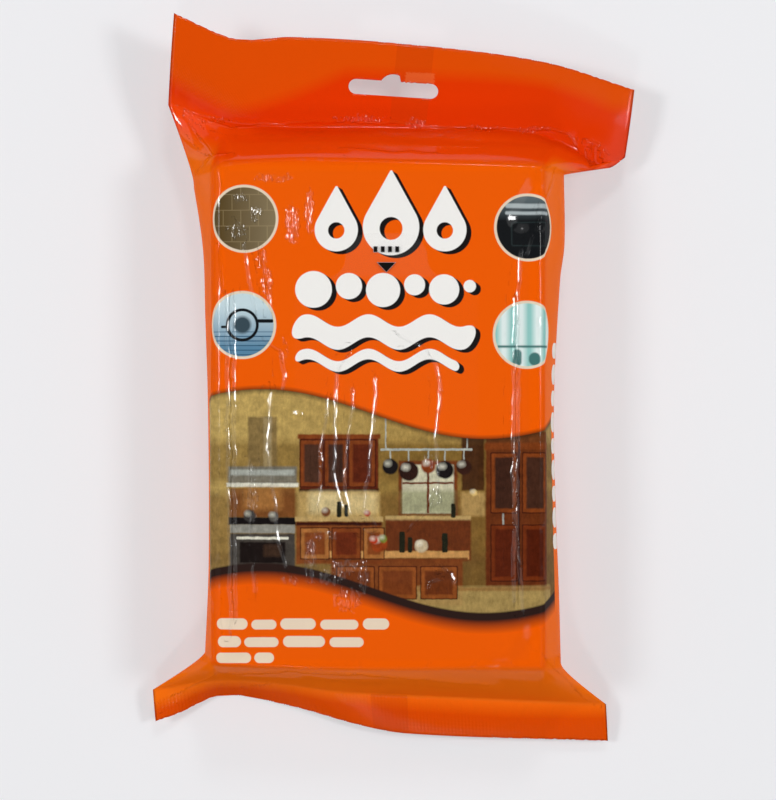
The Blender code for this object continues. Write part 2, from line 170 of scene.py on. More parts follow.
END_CREASES = (
    (1.4, ((-65.4, 97.1), (-58, 93.5), (-48.8, 89.9))),
    (1.6, ((-45.4, 89.9), (-38, 90.8), (-31, 91.2), (-15, 91.6))),
    (1.3, ((-8, 91.6), (4, 91), (16, 89.8), (30, 89.2), (44, 89.4), (51, 89.6), (58, 88.8))),
    (1.0, ((-10.5, 82), (2, 81), (16, 80.6))),
    (1.2, ((-64, 96), (-58, 87), (-52.5, 80))),
    (1.2, ((-60.4, 72.6), (-54.5, 79.2), (-49, 80.6))),
    (1.2, ((58.2, 88.6), (60.2, 85))),
    (1.2, ((64, 86.2), (67.8, 85))),
    (1.3, ((68.6, 84), (72.8, 81))),
    (1.1, ((63.6, 84), (64.6, 77.6))),
    (1.1, ((66, 84.4), (66.6, 78.6))),
    (1.2, ((-72, -92), (-62, -86.4), (-53, -81))),
    (1.0, ((66, -92), (58, -84), (50.5, -75.5))),
    (0.8, ((-48, -80), (-30, -78.5), (-5, -79.6), (18, -82), (32, -83.5))),
    (0.7, ((-50, -86.5), (-44, -86.5), (-36, -85))),
)

# Dents and swells of the film at its ends, in millimetres: (half width, rise, points)
END_WAVES = (
    (2.2, -0.5, ((-45, 87), (-30, 87.4), (0, 87.2), (30, 85.6), (52, 86))),
    (2.0, -0.5, ((-60, 93), (-53, 86), (-48, 81))),
    (1.6, -0.5, ((61, 87.6), (65, 80), (66, 76))),
    (1.6, 0.5, ((63, 86), (70, 83.5))),
    (2.0, -0.5, ((-56, -86), (-44, -86.5), (-36, -85))),
    (2.0, -0.4, ((-30, -79), (-18, -84), (-2, -86))),
    (2.4, 0.5, ((-46, -81), (-20, -80.5), (10, -82), (34, -85))),
)

# Patches of sharp crumples, in millimetres: (x, y, half width, half height, strength)
CRUMPLES = (
    (-45.0, 56.5, 3.4, 2.6, 0.8), (-39.0, 61.5, 2.0, 2.4, 1.0), (-44.0, 66.5, 2.4, 1.6, 0.9),
    (-28.0, 58.5, 2.2, 6.0, 1.1), (-22.8, 62.0, 1.5, 6.4, 1.2), (-33.5, 72.5, 7.0, 1.5, 0.8),
    (-37.2, 48.0, 1.6, 3.6, 1.1), (-35.6, 40.0, 1.6, 5.0, 1.1), (-30.5, 20.0, 1.6, 4.0, 0.6),
    (-26.4, 0.6, 2.8, 1.0, 0.9), (-40.0, -26.0, 1.6, 8.0, 0.9), (-40.2, -17.0, 1.3, 4.0, 0.8),
    (-22.4, -43.5, 2.0, 8.0, 0.9), (-12.0, -46.0, 4.6, 2.4, 1.0), (-16.0, -49.5, 4.0, 2.4, 1.0),
    (-11.2, -56.5, 4.2, 3.8, 1.0), (-6.2, -49.5, 1.6, 5.0, 1.1), (-18.0, -36.5, 4.6, 1.6, 0.8),
    (14.0, -14.0, 1.6, 2.4, 0.8), (15.6, -25.0, 2.0, 3.0, 1.0), (-28.6, -50.5, 3.2, 1.6, 0.8),
    (47.4, 60.5, 1.2, 5.0, 0.9), (-8.0, 92.6, 9.0, 1.2, 1.0), (10.0, 91.2, 3.0, 2.0, 0.8),
    (30.0, 89.6, 7.0, 1.0, 0.9), (47.0, 89.4, 7.0, 1.1, 1.0), (-56.0, 92.6, 9.0, 1.3, 0.9),
    (66.0, 83.0, 4.0, 3.4, 0.6),
)
# How far a patch reaches before it ends, in its own half sizes
PATCH_REACH = 1.6

# Sharp ridge of a crease in the film's relief: half width in millimetres, slope, and reach in full widths
CREASE_HALF_WIDTH = 0.6
CREASE_SLOPE = 0.385
CREASE_REACH = 2.2

# Facets of the film: (place along the web, column) and rows in each zone, from the header to the foot
COLUMN_PLAN = ((-0.144, 0), (-0.072, 30), (-0.052, 50), (0.052, 310), (0.072, 330), (0.144, 360))
ZONE_ROWS = {"header": 28, "header_slope": 40, "body": 164, "foot_slope": 28, "foot": 12}

# In metres: thickness of the sealed flaps, length over which it tapers to the side folds, depth of the zigzag
# along the cut edges, and the distance within which points are merged
FLAP_THICKNESS = 0.0003
FOLD_TAPER = 0.001
ZIGZAG_DEPTH = 0.00022
MERGE_DISTANCE = 1e-6

# Hang slot
SLOT_LENGTH = 0.0280
SLOT_HEIGHT = 0.0046
SLOT_HUMP_RADIUS = 0.0045
SLOT_FROM_FOLD = 0.0120
SLOT_SHIFT = -0.0026
SLOT_TURN = -3.5
SLOT_RAGGED = 0.00035
SLOT_STEPS = 12
SLOT_CUT_REACH = 0.010
# Torn stretch of its edge: inset from the round end, x at its other end, points on it, and pace of its ripples
SLOT_TORN_INSET = 0.0012
SLOT_TORN_END = 0.0022
SLOT_TORN_POINTS = 16
SLOT_TORN_PACE = 1400
# Degrees where the hump starts beside the torn stretch
SLOT_HUMP_START = 68

# Clear label over the oval opening
LABEL_WIDTH = 0.0560
LABEL_LENGTH = 0.0930
LABEL_CENTRE_X = 0.0007
LABEL_CENTRE_Y = -0.0045
LABEL_CORNER = 0.0080
LABEL_THICKNESS = 0.0002
LABEL_GAP = 0.0003
TAB_WIDTH = 0.0250
TAB_LENGTH = 0.0135
TAB_SHOULDER = 0.0060
TAB_STRAIGHT = 0.00015
LABEL_GRID = 0.0018
LABEL_STEPS = 10

# How far creases stand up and wander, and the size of that wander, in metres, with its seeds for x and y
CREASE_RISE = 0.0001
CREASE_WANDER = 0.0006
WANDER_SIZE = 0.005
WANDER_SEEDS = (3.0, 9.0)

# In millimetres: spread of a crease's rise, and a distance past any crease
CREASE_SPREAD = 0.9
FAR_AWAY = 3.0

# Soft waves of the film: (rise and size in metres, seed)
FRONT_WAVES = ((0.00012, 0.022, 1.0), (0.00005, 0.009, 5.0))
BACK_WAVES = (0.0002, 0.012, 31.0)

# Where relief ends on the front of the web and starts on its back, where it calms on the flaps and by what
# share, the length of each fade, and the height under which the back lies flat on the floor
RELIEF_FRONT = 0.066
RELIEF_BACK = 0.078
RELIEF_FLAP = 0.024
FLAP_CALM = 0.7
RELIEF_FADE = 0.006
FLAT_BELOW = 0.0015

# Sizes worked out from those above
PANEL_HALF = STACK_WIDTH / 2 + FILM_SLACK
SHOULDER_Y = STACK_LENGTH / 2 + FILM_SLACK
MIDDLE_Z = STACK_HEIGHT * 0.45
SLOPE_LENGTH = {"header": 0.024, "foot": 0.029}
WEB_WIDTH = 4 * HALF_FLAT
WEB_LENGTH = 0.250


def blend(a, b, share):
    return a + (b - a) * share


def ease(share):
    return share * share * (3 - 2 * share)


def curve_through(points, at):
    """A smooth curve through (place, value) points, read at an array of places."""
    places = np.array([point[0] for point in points])
    values = np.array([point[1] for point in points])
    at = np.clip(at, places[0], places[-1])
    i = np.clip(np.searchsorted(places, at, side="right") - 1, 0, len(points) - 2)
    before = np.maximum(i - 1, 0)
    after = np.minimum(i + 2, len(points) - 1)
    step = places[i + 1] - places[i]
    slope_in = (values[i + 1] - values[before]) / (places[i + 1] - places[before]) * step
    slope_out = (values[after] - values[i]) / (places[after] - places[i]) * step
    t = (at - places[i]) / step
    rise_in = (2 * t**3 - 3 * t**2 + 1) * values[i] + (t**3 - 2 * t**2 + t) * slope_in
    rise_out = (3 * t**2 - 2 * t**3) * values[i + 1] + (t**3 - t**2) * slope_out
    return rise_in + rise_out


def away_from_line(x, y, start, end):
    """Distance of each place from one straight stretch."""
    run_x, run_y = end[0] - start[0], end[1] - start[1]
    share = ((x - start[0]) * run_x + (y - start[1]) * run_y) / (run_x**2 + run_y**2)
    share = np.clip(share, 0, 1)
    return np.hypot(x - start[0] - run_x * share, y - start[1] - run_y * share)


def front_height(x, y):
    """Height of the front panel: a low crown over the stack, and soft folds."""
    across = np.minimum(np.abs(x) / PANEL_HALF, 1)
    along = np.minimum(np.abs(y) / SHOULDER_Y, 1)
    height = STACK_HEIGHT + CROWN_RISE * (1 - across**2) * (1 - along**4)
    for start_x, start_y, end_x, end_y, half_width, rise in FOLDS:
        away = away_from_line(x, y, (start_x, start_y), (end_x, end_y))
        height = height + rise * ease(np.maximum(1 - away / half_width / 2, 0))
    return height


def lean(z):
    """The top of the stack has slid a little to one side."""
    return LEAN * z / STACK_HEIGHT


def section(web, y):
    """The film round the stack: x, y and z for places along the web at heights y along the pack."""
    side = np.sign(web)
    front = np.abs(web) <= HALF_FLAT
    away = np.where(front, np.abs(web), 2 * HALF_FLAT - np.abs(web))
    top_radius = np.where(side > 0, RIGHT_CORNER_RADIUS, LEFT_CORNER_RADIUS)
    radius = np.where(front, top_radius, BACK_CORNER_RADIUS)
    flat = PANEL_HALF - radius
    turn = np.clip((away - flat) / radius, 0, math.pi / 2)
    corner_end = flat + radius * math.pi / 2
    where = np.clip((away - corner_end) / (HALF_FLAT - corner_end), 0, 1)
    bulge = np.where(
        side > 0, curve_through(RIGHT_BULGE, y / SHOULDER_Y), curve_through(LEFT_BULGE, y / SHOULDER_Y)
    )
    x = np.minimum(away, flat) + radius * np.sin(turn) + bulge * np.sin(math.pi / 2 * where)
    top = front_height(side * x, y)
    fall = radius * (1 - np.cos(turn))
    from_lap = np.maximum(np.abs(side * x - LAP_OFFSET) - LAP_WIDTH / 2, 0)
    lap = np.where(from_lap > 0, LAP_STEP * ease(1 - np.minimum(from_lap / LAP_RAMP, 1)), 0)
    upper = blend(top - fall, MIDDLE_Z, where)
    lower = blend(fall + np.where(turn > 0, 0, lap), MIDDLE_Z, where)
    z = np.where(front, upper, lower)
    return np.stack((side * x + lean(z), y + 0 * x, z), axis=-1)


def half_thickness(web):
    """Half of the sealed flap's thickness: up on the front, down on the back, none at the side folds."""
    front = np.abs(web) <= HALF_FLAT
    near_fold = np.minimum(np.abs(np.abs(web) - HALF_FLAT) / FOLD_TAPER, 1)
    back_x = np.sign(web) * (2 * HALF_FLAT - np.abs(web))
    lap = np.where(np.abs(back_x - LAP_OFFSET) < LAP_WIDTH / 2, LAP_STEP, 0)
    return near_fold * np.where(front, FLAP_THICKNESS / 2, -FLAP_THICKNESS / 2 - lap)


class End:
    """One crimped end: film leaves the stack at the shoulder, and is sealed from the fold to its cut edge."""

    def __init__(self, toward, sizes, curves, slope_length):
        self.toward = toward
        self.sizes = sizes
        self.curves = curves
        self.slope_length = slope_length

    def across(self, web):
        face = np.where(np.abs(web) <= HALF_FLAT, np.abs(web), 2 * HALF_FLAT - np.abs(web))
        return np.sign(web) * face / HALF_FLAT

    def curve(self, name, web):
        return curve_through(self.curves[name], self.across(web))

    def shoulder_y(self, web):
        return self.toward * SHOULDER_Y + self.curve("shoulder", web)

    def fin(self, web, share):
        """Places on the sealed flap, from its fold at share 0 to its cut edge at share 1."""
        sizes = self.sizes
        fold_y = self.toward * (SHOULDER_Y + sizes["run"]) + self.curve("fold_y", web)
        edge_y = self.toward * (SHOULDER_Y + sizes["run"] + sizes["depth"]) + self.curve("edge_y", web)
        fold_z = sizes["height"] + self.curve("fold_z", web)
        z = blend(fold_z, self.curve("edge_z", web), share) + sizes["bow"] * np.sin(math.pi * share)
        x = self.across(web) * HALF_FLAT + sizes["shift"] + sizes["skew"] * share
        return np.stack((x, blend(fold_y, edge_y, share), z + half_thickness(web)), axis=-1)

    def slope(self, web, share):
        """Places on the film between the stack at share 0 and the fold at share 1."""
        start = section(web, self.shoulder_y(web) + 0 * share)
        end = self.fin(web, 0 * share)
        fall = share * share / (share + SLOPE_ROUNDING) * (1 + SLOPE_ROUNDING)
        shares = np.stack((fall + 0 * web, share + 0 * web, fall + 0 * web), axis=-1)
        return blend(start, end, shares)

    def web_y(self, web, slope_share, fin_share):
        """How far along the web a place is, for the print."""
        run = self.slope_length * slope_share + self.sizes["depth"] * fin_share
        return self.shoulder_y(web) + self.toward * run


HEADER = End(1, HEADER_SIZES, HEADER_CURVES, SLOPE_LENGTH["header"])
FOOT = End(-1, FOOT_SIZES, FOOT_CURVES, SLOPE_LENGTH["foot"])


def film_surface():
    """The wrapped web as an array of places, with the place of each along the flat web."""
    web_places, web_columns = zip(*COLUMN_PLAN)
    web = np.interp(np.arange(web_columns[-1] + 1), web_columns, web_places)[None, :]
    places, along = [], []

    def add(points, web_y):
        places.append(points)
        along.append(web_y + 0 * web)

    def shares(zone, start, end, last=False):
        count = ZONE_ROWS[zone]
        return np.linspace(start, end, count + 1)[: count + int(last), None]

    share = shares("header", 1, 0)
    add(HEADER.fin(web, share), HEADER.web_y(web, 1, share))
    share = shares("header_slope", 1, 0)
    add(HEADER.slope(web, share), HEADER.web_y(web, share, 0))
    share = shares("body", 0, 1)
    y = blend(HEADER.shoulder_y(web), FOOT.shoulder_y(web), share)
    add(section(web, y), y)
    share = shares("foot_slope", 0, 1)
    add(FOOT.slope(web, share), FOOT.web_y(web, share, 0))
    share = shares("foot", 0, 1, last=True)
    add(FOOT.fin(web, share), FOOT.web_y(web, 1, share))
    places = np.concatenate(places)
    along = np.concatenate(along)
    return places, np.broadcast_to(web, along.shape), along


def surface_normals(places):
    """Outward directions of the wrapped web."""
    round_web = np.gradient(places, axis=1)
    down_web = np.gradient(places, axis=0)
    normals = np.cross(down_web, round_web)
    lengths = np.linalg.norm(normals, axis=-1, keepdims=True)
    return normals / np.maximum(lengths, 1e-12)


def crinkle(x, y, size, seed):
    """Smooth random values from -1 to 1 over the film, with features of one size."""
    values = [noise.noise(Vector((a / size, b / size, seed))) for a, b in zip(x.ravel(), y.ravel())]
    return np.array(values).reshape(x.shape)


def away_from_crease(x, y, points):
    """Signed distance of each place from a crease, in millimetres: one side is below 0."""
    nearest = np.full(x.shape, FAR_AWAY)
    for start, end in zip(points, points[1:]):
        away = away_from_line(x, y, start, end)
        turned = (end[0] - start[0]) * (y - start[1]) - (end[1] - start[1]) * (x - start[0])
        signed = np.where(turned < 0, -away, away)
        nearest = np.where(away < np.abs(nearest), signed, nearest)
    return nearest


def crease_lines(x, y, creases):
    """Signed distance from the nearest crease, and the strength of that crease near its line."""
    side = np.full(x.shape, FAR_AWAY)
    strength = np.zeros(x.shape)
    for force, points in creases:
        away = away_from_crease(x, y, points)
        nearer = np.abs(away) < np.abs(side)
        side = np.where(nearer, away, side)
        share = np.clip(CREASE_REACH - np.abs(away) / CREASE_HALF_WIDTH / 2, 0, 1)
        strength = np.where(nearer, force * share, strength)
    return side, strength


def crumple_patches(x, y):
    """Strength of the patches of sharp crumples."""
    strength = np.zeros(x.shape)
    for centre_x, centre_y, half_x, half_y, force in CRUMPLES:
        away = np.hypot((x - centre_x) / half_x, (y - centre_y) / half_y)
        strength = np.maximum(strength, force * ease(np.clip(PATCH_REACH - away, 0, 1)))
    return strength


def crumple(places, web, along):
    """Pushes the front of the film out and in, in soft waves and along its creases.

    The other arrays that it gives are the distance from the nearest crease in millimetres, its strength, and
    the strength of crumples.
    """
    x, y, z = places[..., 0], places[..., 1], places[..., 2]
    bent_x, bent_y = [
        (at + CREASE_WANDER * crinkle(x, y, WANDER_SIZE, seed)) / MM for at, seed in zip((x, y), WANDER_SEEDS)
    ]
    side, strength = crease_lines(bent_x, bent_y, PANEL_CREASES + OPENING_CREASES + END_CREASES)
    height = CREASE_RISE * strength * np.exp(-((side / CREASE_SPREAD) ** 2))
    for half_width, rise, points in END_WAVES:
        away = away_from_crease(bent_x, bent_y, points)
        height += rise * MM * np.exp(-((away / half_width) ** 2))
    height += sum(rise * crinkle(x, y, size, seed) for rise, size, seed in FRONT_WAVES)
    on_front = np.clip((RELIEF_FRONT - np.abs(web)) / RELIEF_FADE, 0, 1)
    flap = np.clip((np.abs(along) - SHOULDER_Y - RELIEF_FLAP) / RELIEF_FADE, 0, 1)
    height *= on_front * (1 - FLAP_CALM * flap)
    back = np.clip((np.abs(web) - RELIEF_BACK) / RELIEF_FADE, 0, 1) * (z > FLAT_BELOW)
    rise, size, seed = BACK_WAVES
    height += back * rise * crinkle(x, y, size, seed)
    bent = places + surface_normals(places) * height[..., None]
    marks = {"crease_side": side, "creased": strength * on_front}
    marks["crumpled"] = crumple_patches(bent_x, bent_y) * on_front
    return bent, marks


def zigzag_cut(places):
    """Gives the two cut edges their fine zigzag."""
    step = ZIGZAG_DEPTH * (np.arange(places.shape[1]) % 2)
    places[0, :, 1] -= step
    places[-1, :, 1] += step


def make_film():
    """The web of film, wrapped round the stack, closed at its ends, and cut for the hang slot."""
    places, web, along = film_surface()
    places, marks = crumple(places, web, along)
    zigzag_cut(places)
    places[..., 2] = np.maximum(places[..., 2], 0)
    rows, columns = along.shape
    mesh = bmesh.new()
    bmesh.ops.create_grid(mesh, x_segments=columns - 1, y_segments=rows - 1, size=1)
    spots = []
    layers = [(mesh.verts.layers.float.new(name), values) for name, values in marks.items()]
    for vert in mesh.verts:
        column = round((vert.co.x + 1) / 2 * (columns - 1))
        row = round((1 - vert.co.y) / 2 * (rows - 1))
        vert.co = places[row, column]
        for layer, values in layers:
            vert[layer] = values[row, column]
        spots.append((0.5 + web[row, column] / WEB_WIDTH, 0.5 + along[row, column] / WEB_LENGTH))
    mesh.verts.index_update()
    layer = mesh.loops.layers.uv.new("film")
    for face in mesh.faces:
        face.smooth = True
        for loop in face.loops:
            loop[layer].uv = spots[loop.vert.index]
    bmesh.ops.remove_doubles(mesh, verts=mesh.verts, dist=MERGE_DISTANCE)
    close_cut_edges(mesh)
    bmesh.ops.recalc_face_normals(mesh, faces=mesh.faces)
    film = add_piece("film_wrapper", mesh)
    cut_slot(film)
    return film


def close_cut_edges(mesh):
    """Fills the thin strip between the two faces of film at each cut edge."""
    open_edges = [edge for edge in mesh.edges if edge.is_boundary]
    for toward in (1, -1):
        ring = [edge for edge in open_edges if edge.verts[0].co.y * toward > 0]
        bmesh.ops.triangle_fill(mesh, use_beauty=True, use_dissolve=False, edges=ring, normal=(0, 1, 0))


def add_piece(name, mesh):
    data = bpy.data.meshes.new(name)
    mesh.to_mesh(data)
    mesh.free()
    piece = bpy.data.objects.new(name, data)
    bpy.context.scene.collection.objects.link(piece)
    return piece


def arc(centre, radius, start, end, steps):
    """Points on an arc about centre, with its angles in degrees."""
    angles = [math.radians(blend(start, end, i / steps)) for i in range(steps + 1)]
    return [(centre[0] + radius * math.cos(a), centre[1] + radius * math.sin(a)) for a in angles]


def slot_outline():
    """A bar with round ends and a hump in its upper edge, torn ragged on one side of the hump."""
    radius = SLOT_HEIGHT / 2
    reach = SLOT_LENGTH / 2 - radius
    rise = math.degrees(math.asin(radius / SLOT_HUMP_RADIUS))
    points = arc((reach, 0), radius, -90, 90, SLOT_STEPS)
    torn = np.linspace(reach - SLOT_TORN_INSET, SLOT_TORN_END, SLOT_TORN_POINTS)
    points += [(x, radius + SLOT_RAGGED * noise.noise(Vector((x * SLOT_TORN_PACE, 0, 4)))) for x in torn]
    points += arc((0, 0), SLOT_HUMP_RADIUS, SLOT_HUMP_START, 180 - rise, SLOT_STEPS)
    points += arc((-reach, 0), radius, 90, 270, SLOT_STEPS)
    return points


def make_slot_cutter():
    """A prism through the header, shaped like the hang slot."""
    share = np.array([[SLOT_FROM_FOLD / HEADER_SIZES["depth"]]])
    middle = HEADER.fin(np.array([[SLOT_SHIFT]]), share)[0, 0]
    turn = math.radians(SLOT_TURN)
    mesh = bmesh.new()
    base = []
    for x, y in slot_outline():
        at_x = middle[0] + x * math.cos(turn) - y * math.sin(turn)
        at_y = middle[1] + x * math.sin(turn) + y * math.cos(turn)
        base.append(mesh.verts.new((at_x, at_y, middle[2] - SLOT_CUT_REACH)))
    mesh.faces.new(base)
    extrude_up(mesh, 2 * SLOT_CUT_REACH)
    return add_piece("hang_slot_cutter", mesh)


def extrude_up(mesh, thickness):
    """Gives a flat sheet its thickness."""
    lifted = bmesh.ops.extrude_face_region(mesh, geom=list(mesh.faces))["geom"]
    verts = [part for part in lifted if isinstance(part, bmesh.types.BMVert)]
    bmesh.ops.translate(mesh, vec=(0, 0, thickness), verts=verts)
    bmesh.ops.recalc_face_normals(mesh, faces=mesh.faces)


def cut_slot(film):
    """Cuts the hang slot through both faces of the header and keeps the result in the mesh."""
    cutter = make_slot_cutter()
    boolean = film.modifiers.new("hang_slot", "BOOLEAN")
    boolean.operation = "DIFFERENCE"
    boolean.solver = "EXACT"
    boolean.object = cutter
    apply_modifiers(film)
    bpy.data.objects.remove(cutter)


def apply_modifiers(piece):
    graph = bpy.context.evaluated_depsgraph_get()
    done = bpy.data.meshes.new_from_object(piece.evaluated_get(graph))
    piece.modifiers.clear()
    old = piece.data
    piece.data = done
    bpy.data.meshes.remove(old)
    done.name = piece.name


def label_outline():
    """Outline of the label, anticlockwise: a rounded rectangle with a bell-shaped tab on its top edge."""
    half = LABEL_WIDTH / 2 - LABEL_CORNER
    bottom = LABEL_CENTRE_Y - LABEL_LENGTH / 2
    top = LABEL_CENTRE_Y + LABEL_LENGTH / 2
    tab_half = TAB_WIDTH / 2
    tab_round = min(tab_half, TAB_LENGTH - TAB_SHOULDER) - TAB_STRAIGHT
    points = arc((half, bottom + LABEL_CORNER), LABEL_CORNER, -90, 0, LABEL_STEPS)
    points += arc((half, top - LABEL_CORNER), LABEL_CORNER, 0, 90, LABEL_STEPS)
    points += arc((tab_half + TAB_SHOULDER, top + TAB_SHOULDER), TAB_SHOULDER, 270, 180, LABEL_STEPS)
    points += arc((tab_half - tab_round, top + TAB_LENGTH - tab_round), tab_round, 0, 90, LABEL_STEPS)
    left = [(-x, y) for x, y in reversed(points)]
    return [(x + LABEL_CENTRE_X, y) for x, y in points + left]


def make_label():
    """A thin clear sheet that follows the crumpled front panel."""
    mesh = bmesh.new()
    mesh.faces.new([mesh.verts.new((x, y, 0)) for x, y in label_outline()])
    for axis, reach in ((0, LABEL_WIDTH), (1, LABEL_LENGTH)):
        for i in range(math.ceil(2 * reach / LABEL_GRID)):
            point = [0, 0, 0]
            normal = [0, 0, 0]
            point[axis] = i * LABEL_GRID - reach
            normal[axis] = 1
            parts = list(mesh.verts) + list(mesh.edges) + list(mesh.faces)
            bmesh.ops.bisect_plane(mesh, geom=parts, plane_co=point, plane_no=normal, dist=MERGE_DISTANCE)
    x = np.array([vert.co.x for vert in mesh.verts])
    y = np.array([vert.co.y for vert in mesh.verts])
    z = front_height(x - lean(STACK_HEIGHT), y) + LABEL_GAP
    z += CREASE_RISE * crease_lines(x / MM, y / MM, OPENING_CREASES)[1]
    for vert, height in zip(mesh.verts, z):
        vert.co.z = height
    extrude_up(mesh, LABEL_THICKNESS)
    for face in mesh.faces:
        face.smooth = True
    return add_piece("clear_label_sheet", mesh)


class Nodes:
    """Adds nodes to one node tree. A value is a number, a tuple or another node's output."""

    def __init__(self, tree):
        self.tree = tree

    def node(self, kind, **settings):
        node = self.tree.nodes.new(kind)
        for name, value in settings.items():
            setattr(node, name, value)
        return node

    def put(self, socket, value):
        if isinstance(value, bpy.types.NodeSocket):
            self.tree.links.new(value, socket)
        else:
            socket.default_value = value

    def maths(self, operation, *values):
        node = self.node("ShaderNodeMath", operation=operation)
        for socket, value in zip(node.inputs, values):
            self.put(socket, value)
        return node.outputs[0]

    def times(self, first, second):
        return self.maths("MULTIPLY", first, second)

    def plus(self, first, second):
        return self.maths("ADD", first, second)

    def minus(self, first, second):
        return self.maths("SUBTRACT", first, second)

    def absolute(self, value):
        return self.maths("ABSOLUTE", value)

    def larger(self, first, second):
        return self.maths("MAXIMUM", first, second)

    def vector(self, operation, *values):
        node = self.node("ShaderNodeVectorMath", operation=operation)
        for socket, value in zip(node.inputs, values):
            self.put(socket, value)
        return node.outputs["Value" if operation in ("LENGTH", "DOT_PRODUCT") else "Vector"]

    def combine(self, x=0.0, y=0.0, z=0.0):
        node = self.node("ShaderNodeCombineXYZ")
        for socket, value in zip(node.inputs, (x, y, z)):
            self.put(socket, value)
        return node.outputs[0]

    def split(self, vector):
        """The x and the y of a vector."""
        return [self.vector("DOT_PRODUCT", vector, axis) for axis in ((1, 0, 0), (0, 1, 0))]

    def range(self, value, low, high, to_low=0.0, to_high=1.0):
        """A value carried from one range to another, kept inside it."""
        node = self.node("ShaderNodeMapRange", clamp=False)
        for socket, number in zip(node.inputs, (value, low, high, to_low, to_high)):
            self.put(socket, number)
        above = self.larger(node.outputs[0], min(to_low, to_high))
        return self.maths("MINIMUM", above, max(to_low, to_high))

    def paint(self, under, colour, mask):
        """One colour laid over another where the mask is 1."""
        node = self.node("ShaderNodeMix", data_type="RGBA")
        self.put(node.inputs[0], mask)
        self.put(node.inputs[6], under if isinstance(under, bpy.types.NodeSocket) else (*under, 1))
        self.put(node.inputs[7], colour if isinstance(colour, bpy.types.NodeSocket) else (*colour, 1))
        return node.outputs[2]

    def noise(self, vector, scale, detail=2.0, rough=0.5):
        """Soft noise between 0 and 1, from the group that all noise shares."""
        group = bpy.data.node_groups.get("soft_noise") or noise_group()
        return self.group(group, Place=vector, Scale=scale, Detail=detail, Roughness=rough)["Height"]

    def group(self, group, **values):
        node = self.node("ShaderNodeGroup", node_tree=group)
        for name, value in values.items():
            self.put(node.inputs[name.replace("_", " ")], value)
        return node.outputs


def new_group(name, inputs, outputs):
    """An empty node group with its sockets, its node helper, its inputs and its output node."""
    group = bpy.data.node_groups.new(name, "ShaderNodeTree")
    for in_out, sockets in (("INPUT", inputs), ("OUTPUT", outputs)):
        for label, kind in sockets.items():
            group.interface.new_socket(name=label, in_out=in_out, socket_type="NodeSocket" + kind)
    nodes = Nodes(group)
    start = nodes.node("NodeGroupInput")
    end = nodes.node("NodeGroupOutput")
    return group, nodes, start.outputs, end.inputs


def rgb(red, green, blue):
    """A colour in linear values, from its usual 0 to 255 ones."""
    def linear(value):
        share = value / 255
        return share / 12.92 if share <= 0.04045 else ((share + 0.055) / 1.055) ** 2.4

    return (linear(red), linear(green), linear(blue))


def noise_group():
    """Soft noise between 0 and 1."""
    group, nodes, given, out = new_group(
        "soft_noise", {"Place": "Vector", "Scale": "Float", "Detail": "Float", "Roughness": "Float"},
        {"Height": "Float"},
    )
    node = nodes.node("ShaderNodeTexNoise")
    nodes.put(node.inputs["Vector"], given["Place"])
    for name in ("Scale", "Detail", "Roughness"):
        nodes.put(node.inputs[name], given[name])
    nodes.put(out["Height"], node.outputs[0])
    return group


def rounded_box_group():
    """Distance outside a rectangle with round corners, in millimetres."""
    group, nodes, given, out = new_group(
        "rounded_box", {"Place": "Vector", "Centre": "Vector", "Half Size": "Vector", "Corner": "Float"},
        {"Distance": "Float"},
    )
    local = nodes.vector("ABSOLUTE", nodes.vector("SUBTRACT", given["Place"], given["Centre"]))
    corner = nodes.combine(given["Corner"], given["Corner"])
    beyond = nodes.vector("ADD", nodes.vector("SUBTRACT", local, given["Half Size"]), corner)
    reach = nodes.vector("LENGTH", nodes.vector("MAXIMUM", beyond, (0, 0, 0)))
    nodes.put(out["Distance"], nodes.minus(reach, given["Corner"]))
    return group


# Radius of a drop's upper tip, in millimetres
DROP_TIP = 0.4


def drop_group():
    """Distance outside a drop of water that stands on its round end, in millimetres."""
    group, nodes, given, out = new_group(
        "water_drop", {"Place": "Vector", "Centre": "Vector", "Radius": "Float", "Height": "Float"},
        {"Distance": "Float"},
    )
    x, y = nodes.split(nodes.vector("SUBTRACT", given["Place"], given["Centre"]))
    x = nodes.absolute(x)
    lean_share = nodes.maths("DIVIDE", nodes.minus(given["Radius"], DROP_TIP), given["Height"])
    up = nodes.maths("SQRT", nodes.minus(1.0, nodes.times(lean_share, lean_share)))
    along = nodes.minus(nodes.times(y, up), nodes.times(x, lean_share))
    ball = nodes.minus(nodes.vector("LENGTH", nodes.combine(x, y)), given["Radius"])
    flank = nodes.plus(nodes.times(x, up), nodes.times(y, lean_share))
    flank = nodes.minus(flank, given["Radius"])
    above = nodes.minus(y, given["Height"])
    point = nodes.minus(nodes.vector("LENGTH", nodes.combine(x, above)), DROP_TIP)
    past = nodes.maths("GREATER_THAN", along, nodes.times(up, given["Height"]))
    on_flank = nodes.maths("GREATER_THAN", along, 0.0)
    upper = nodes.plus(flank, nodes.times(past, nodes.minus(point, flank)))
    chosen = nodes.plus(ball, nodes.times(on_flank, nodes.minus(upper, ball)))
    nodes.put(out["Distance"], chosen)
    return group


# Printed shapes on the film, in millimetres from the middle of the pack: (x, y, then sizes)
TITLE_DROPS = ((-14.5, 56.6, 6.6, 13.0), (2.2, 57.4, 8.6, 17.0), (18.6, 56.6, 6.6, 13.0))
TITLE_HOLES = ((-14.5, 56.4, 2.5), (2.2, 57.0, 3.5), (18.6, 56.4, 2.5))
TITLE_BUBBLES = (
    (-21.4, 38.4, 5.6), (-10.6, 39.4, 4.0), (-0.2, 38.2, 5.2), (9.4, 39.8, 3.2), (18.4, 38.4, 4.6),
    (26.2, 39.4, 1.9),
)
TITLE_WAVES = ((0.0, 25.4, 28.0, 3.5), (-2.0, 16.8, 25.0, 1.6))
WAVE_PERIOD = 18.6
WAVE_RISE = 1.9
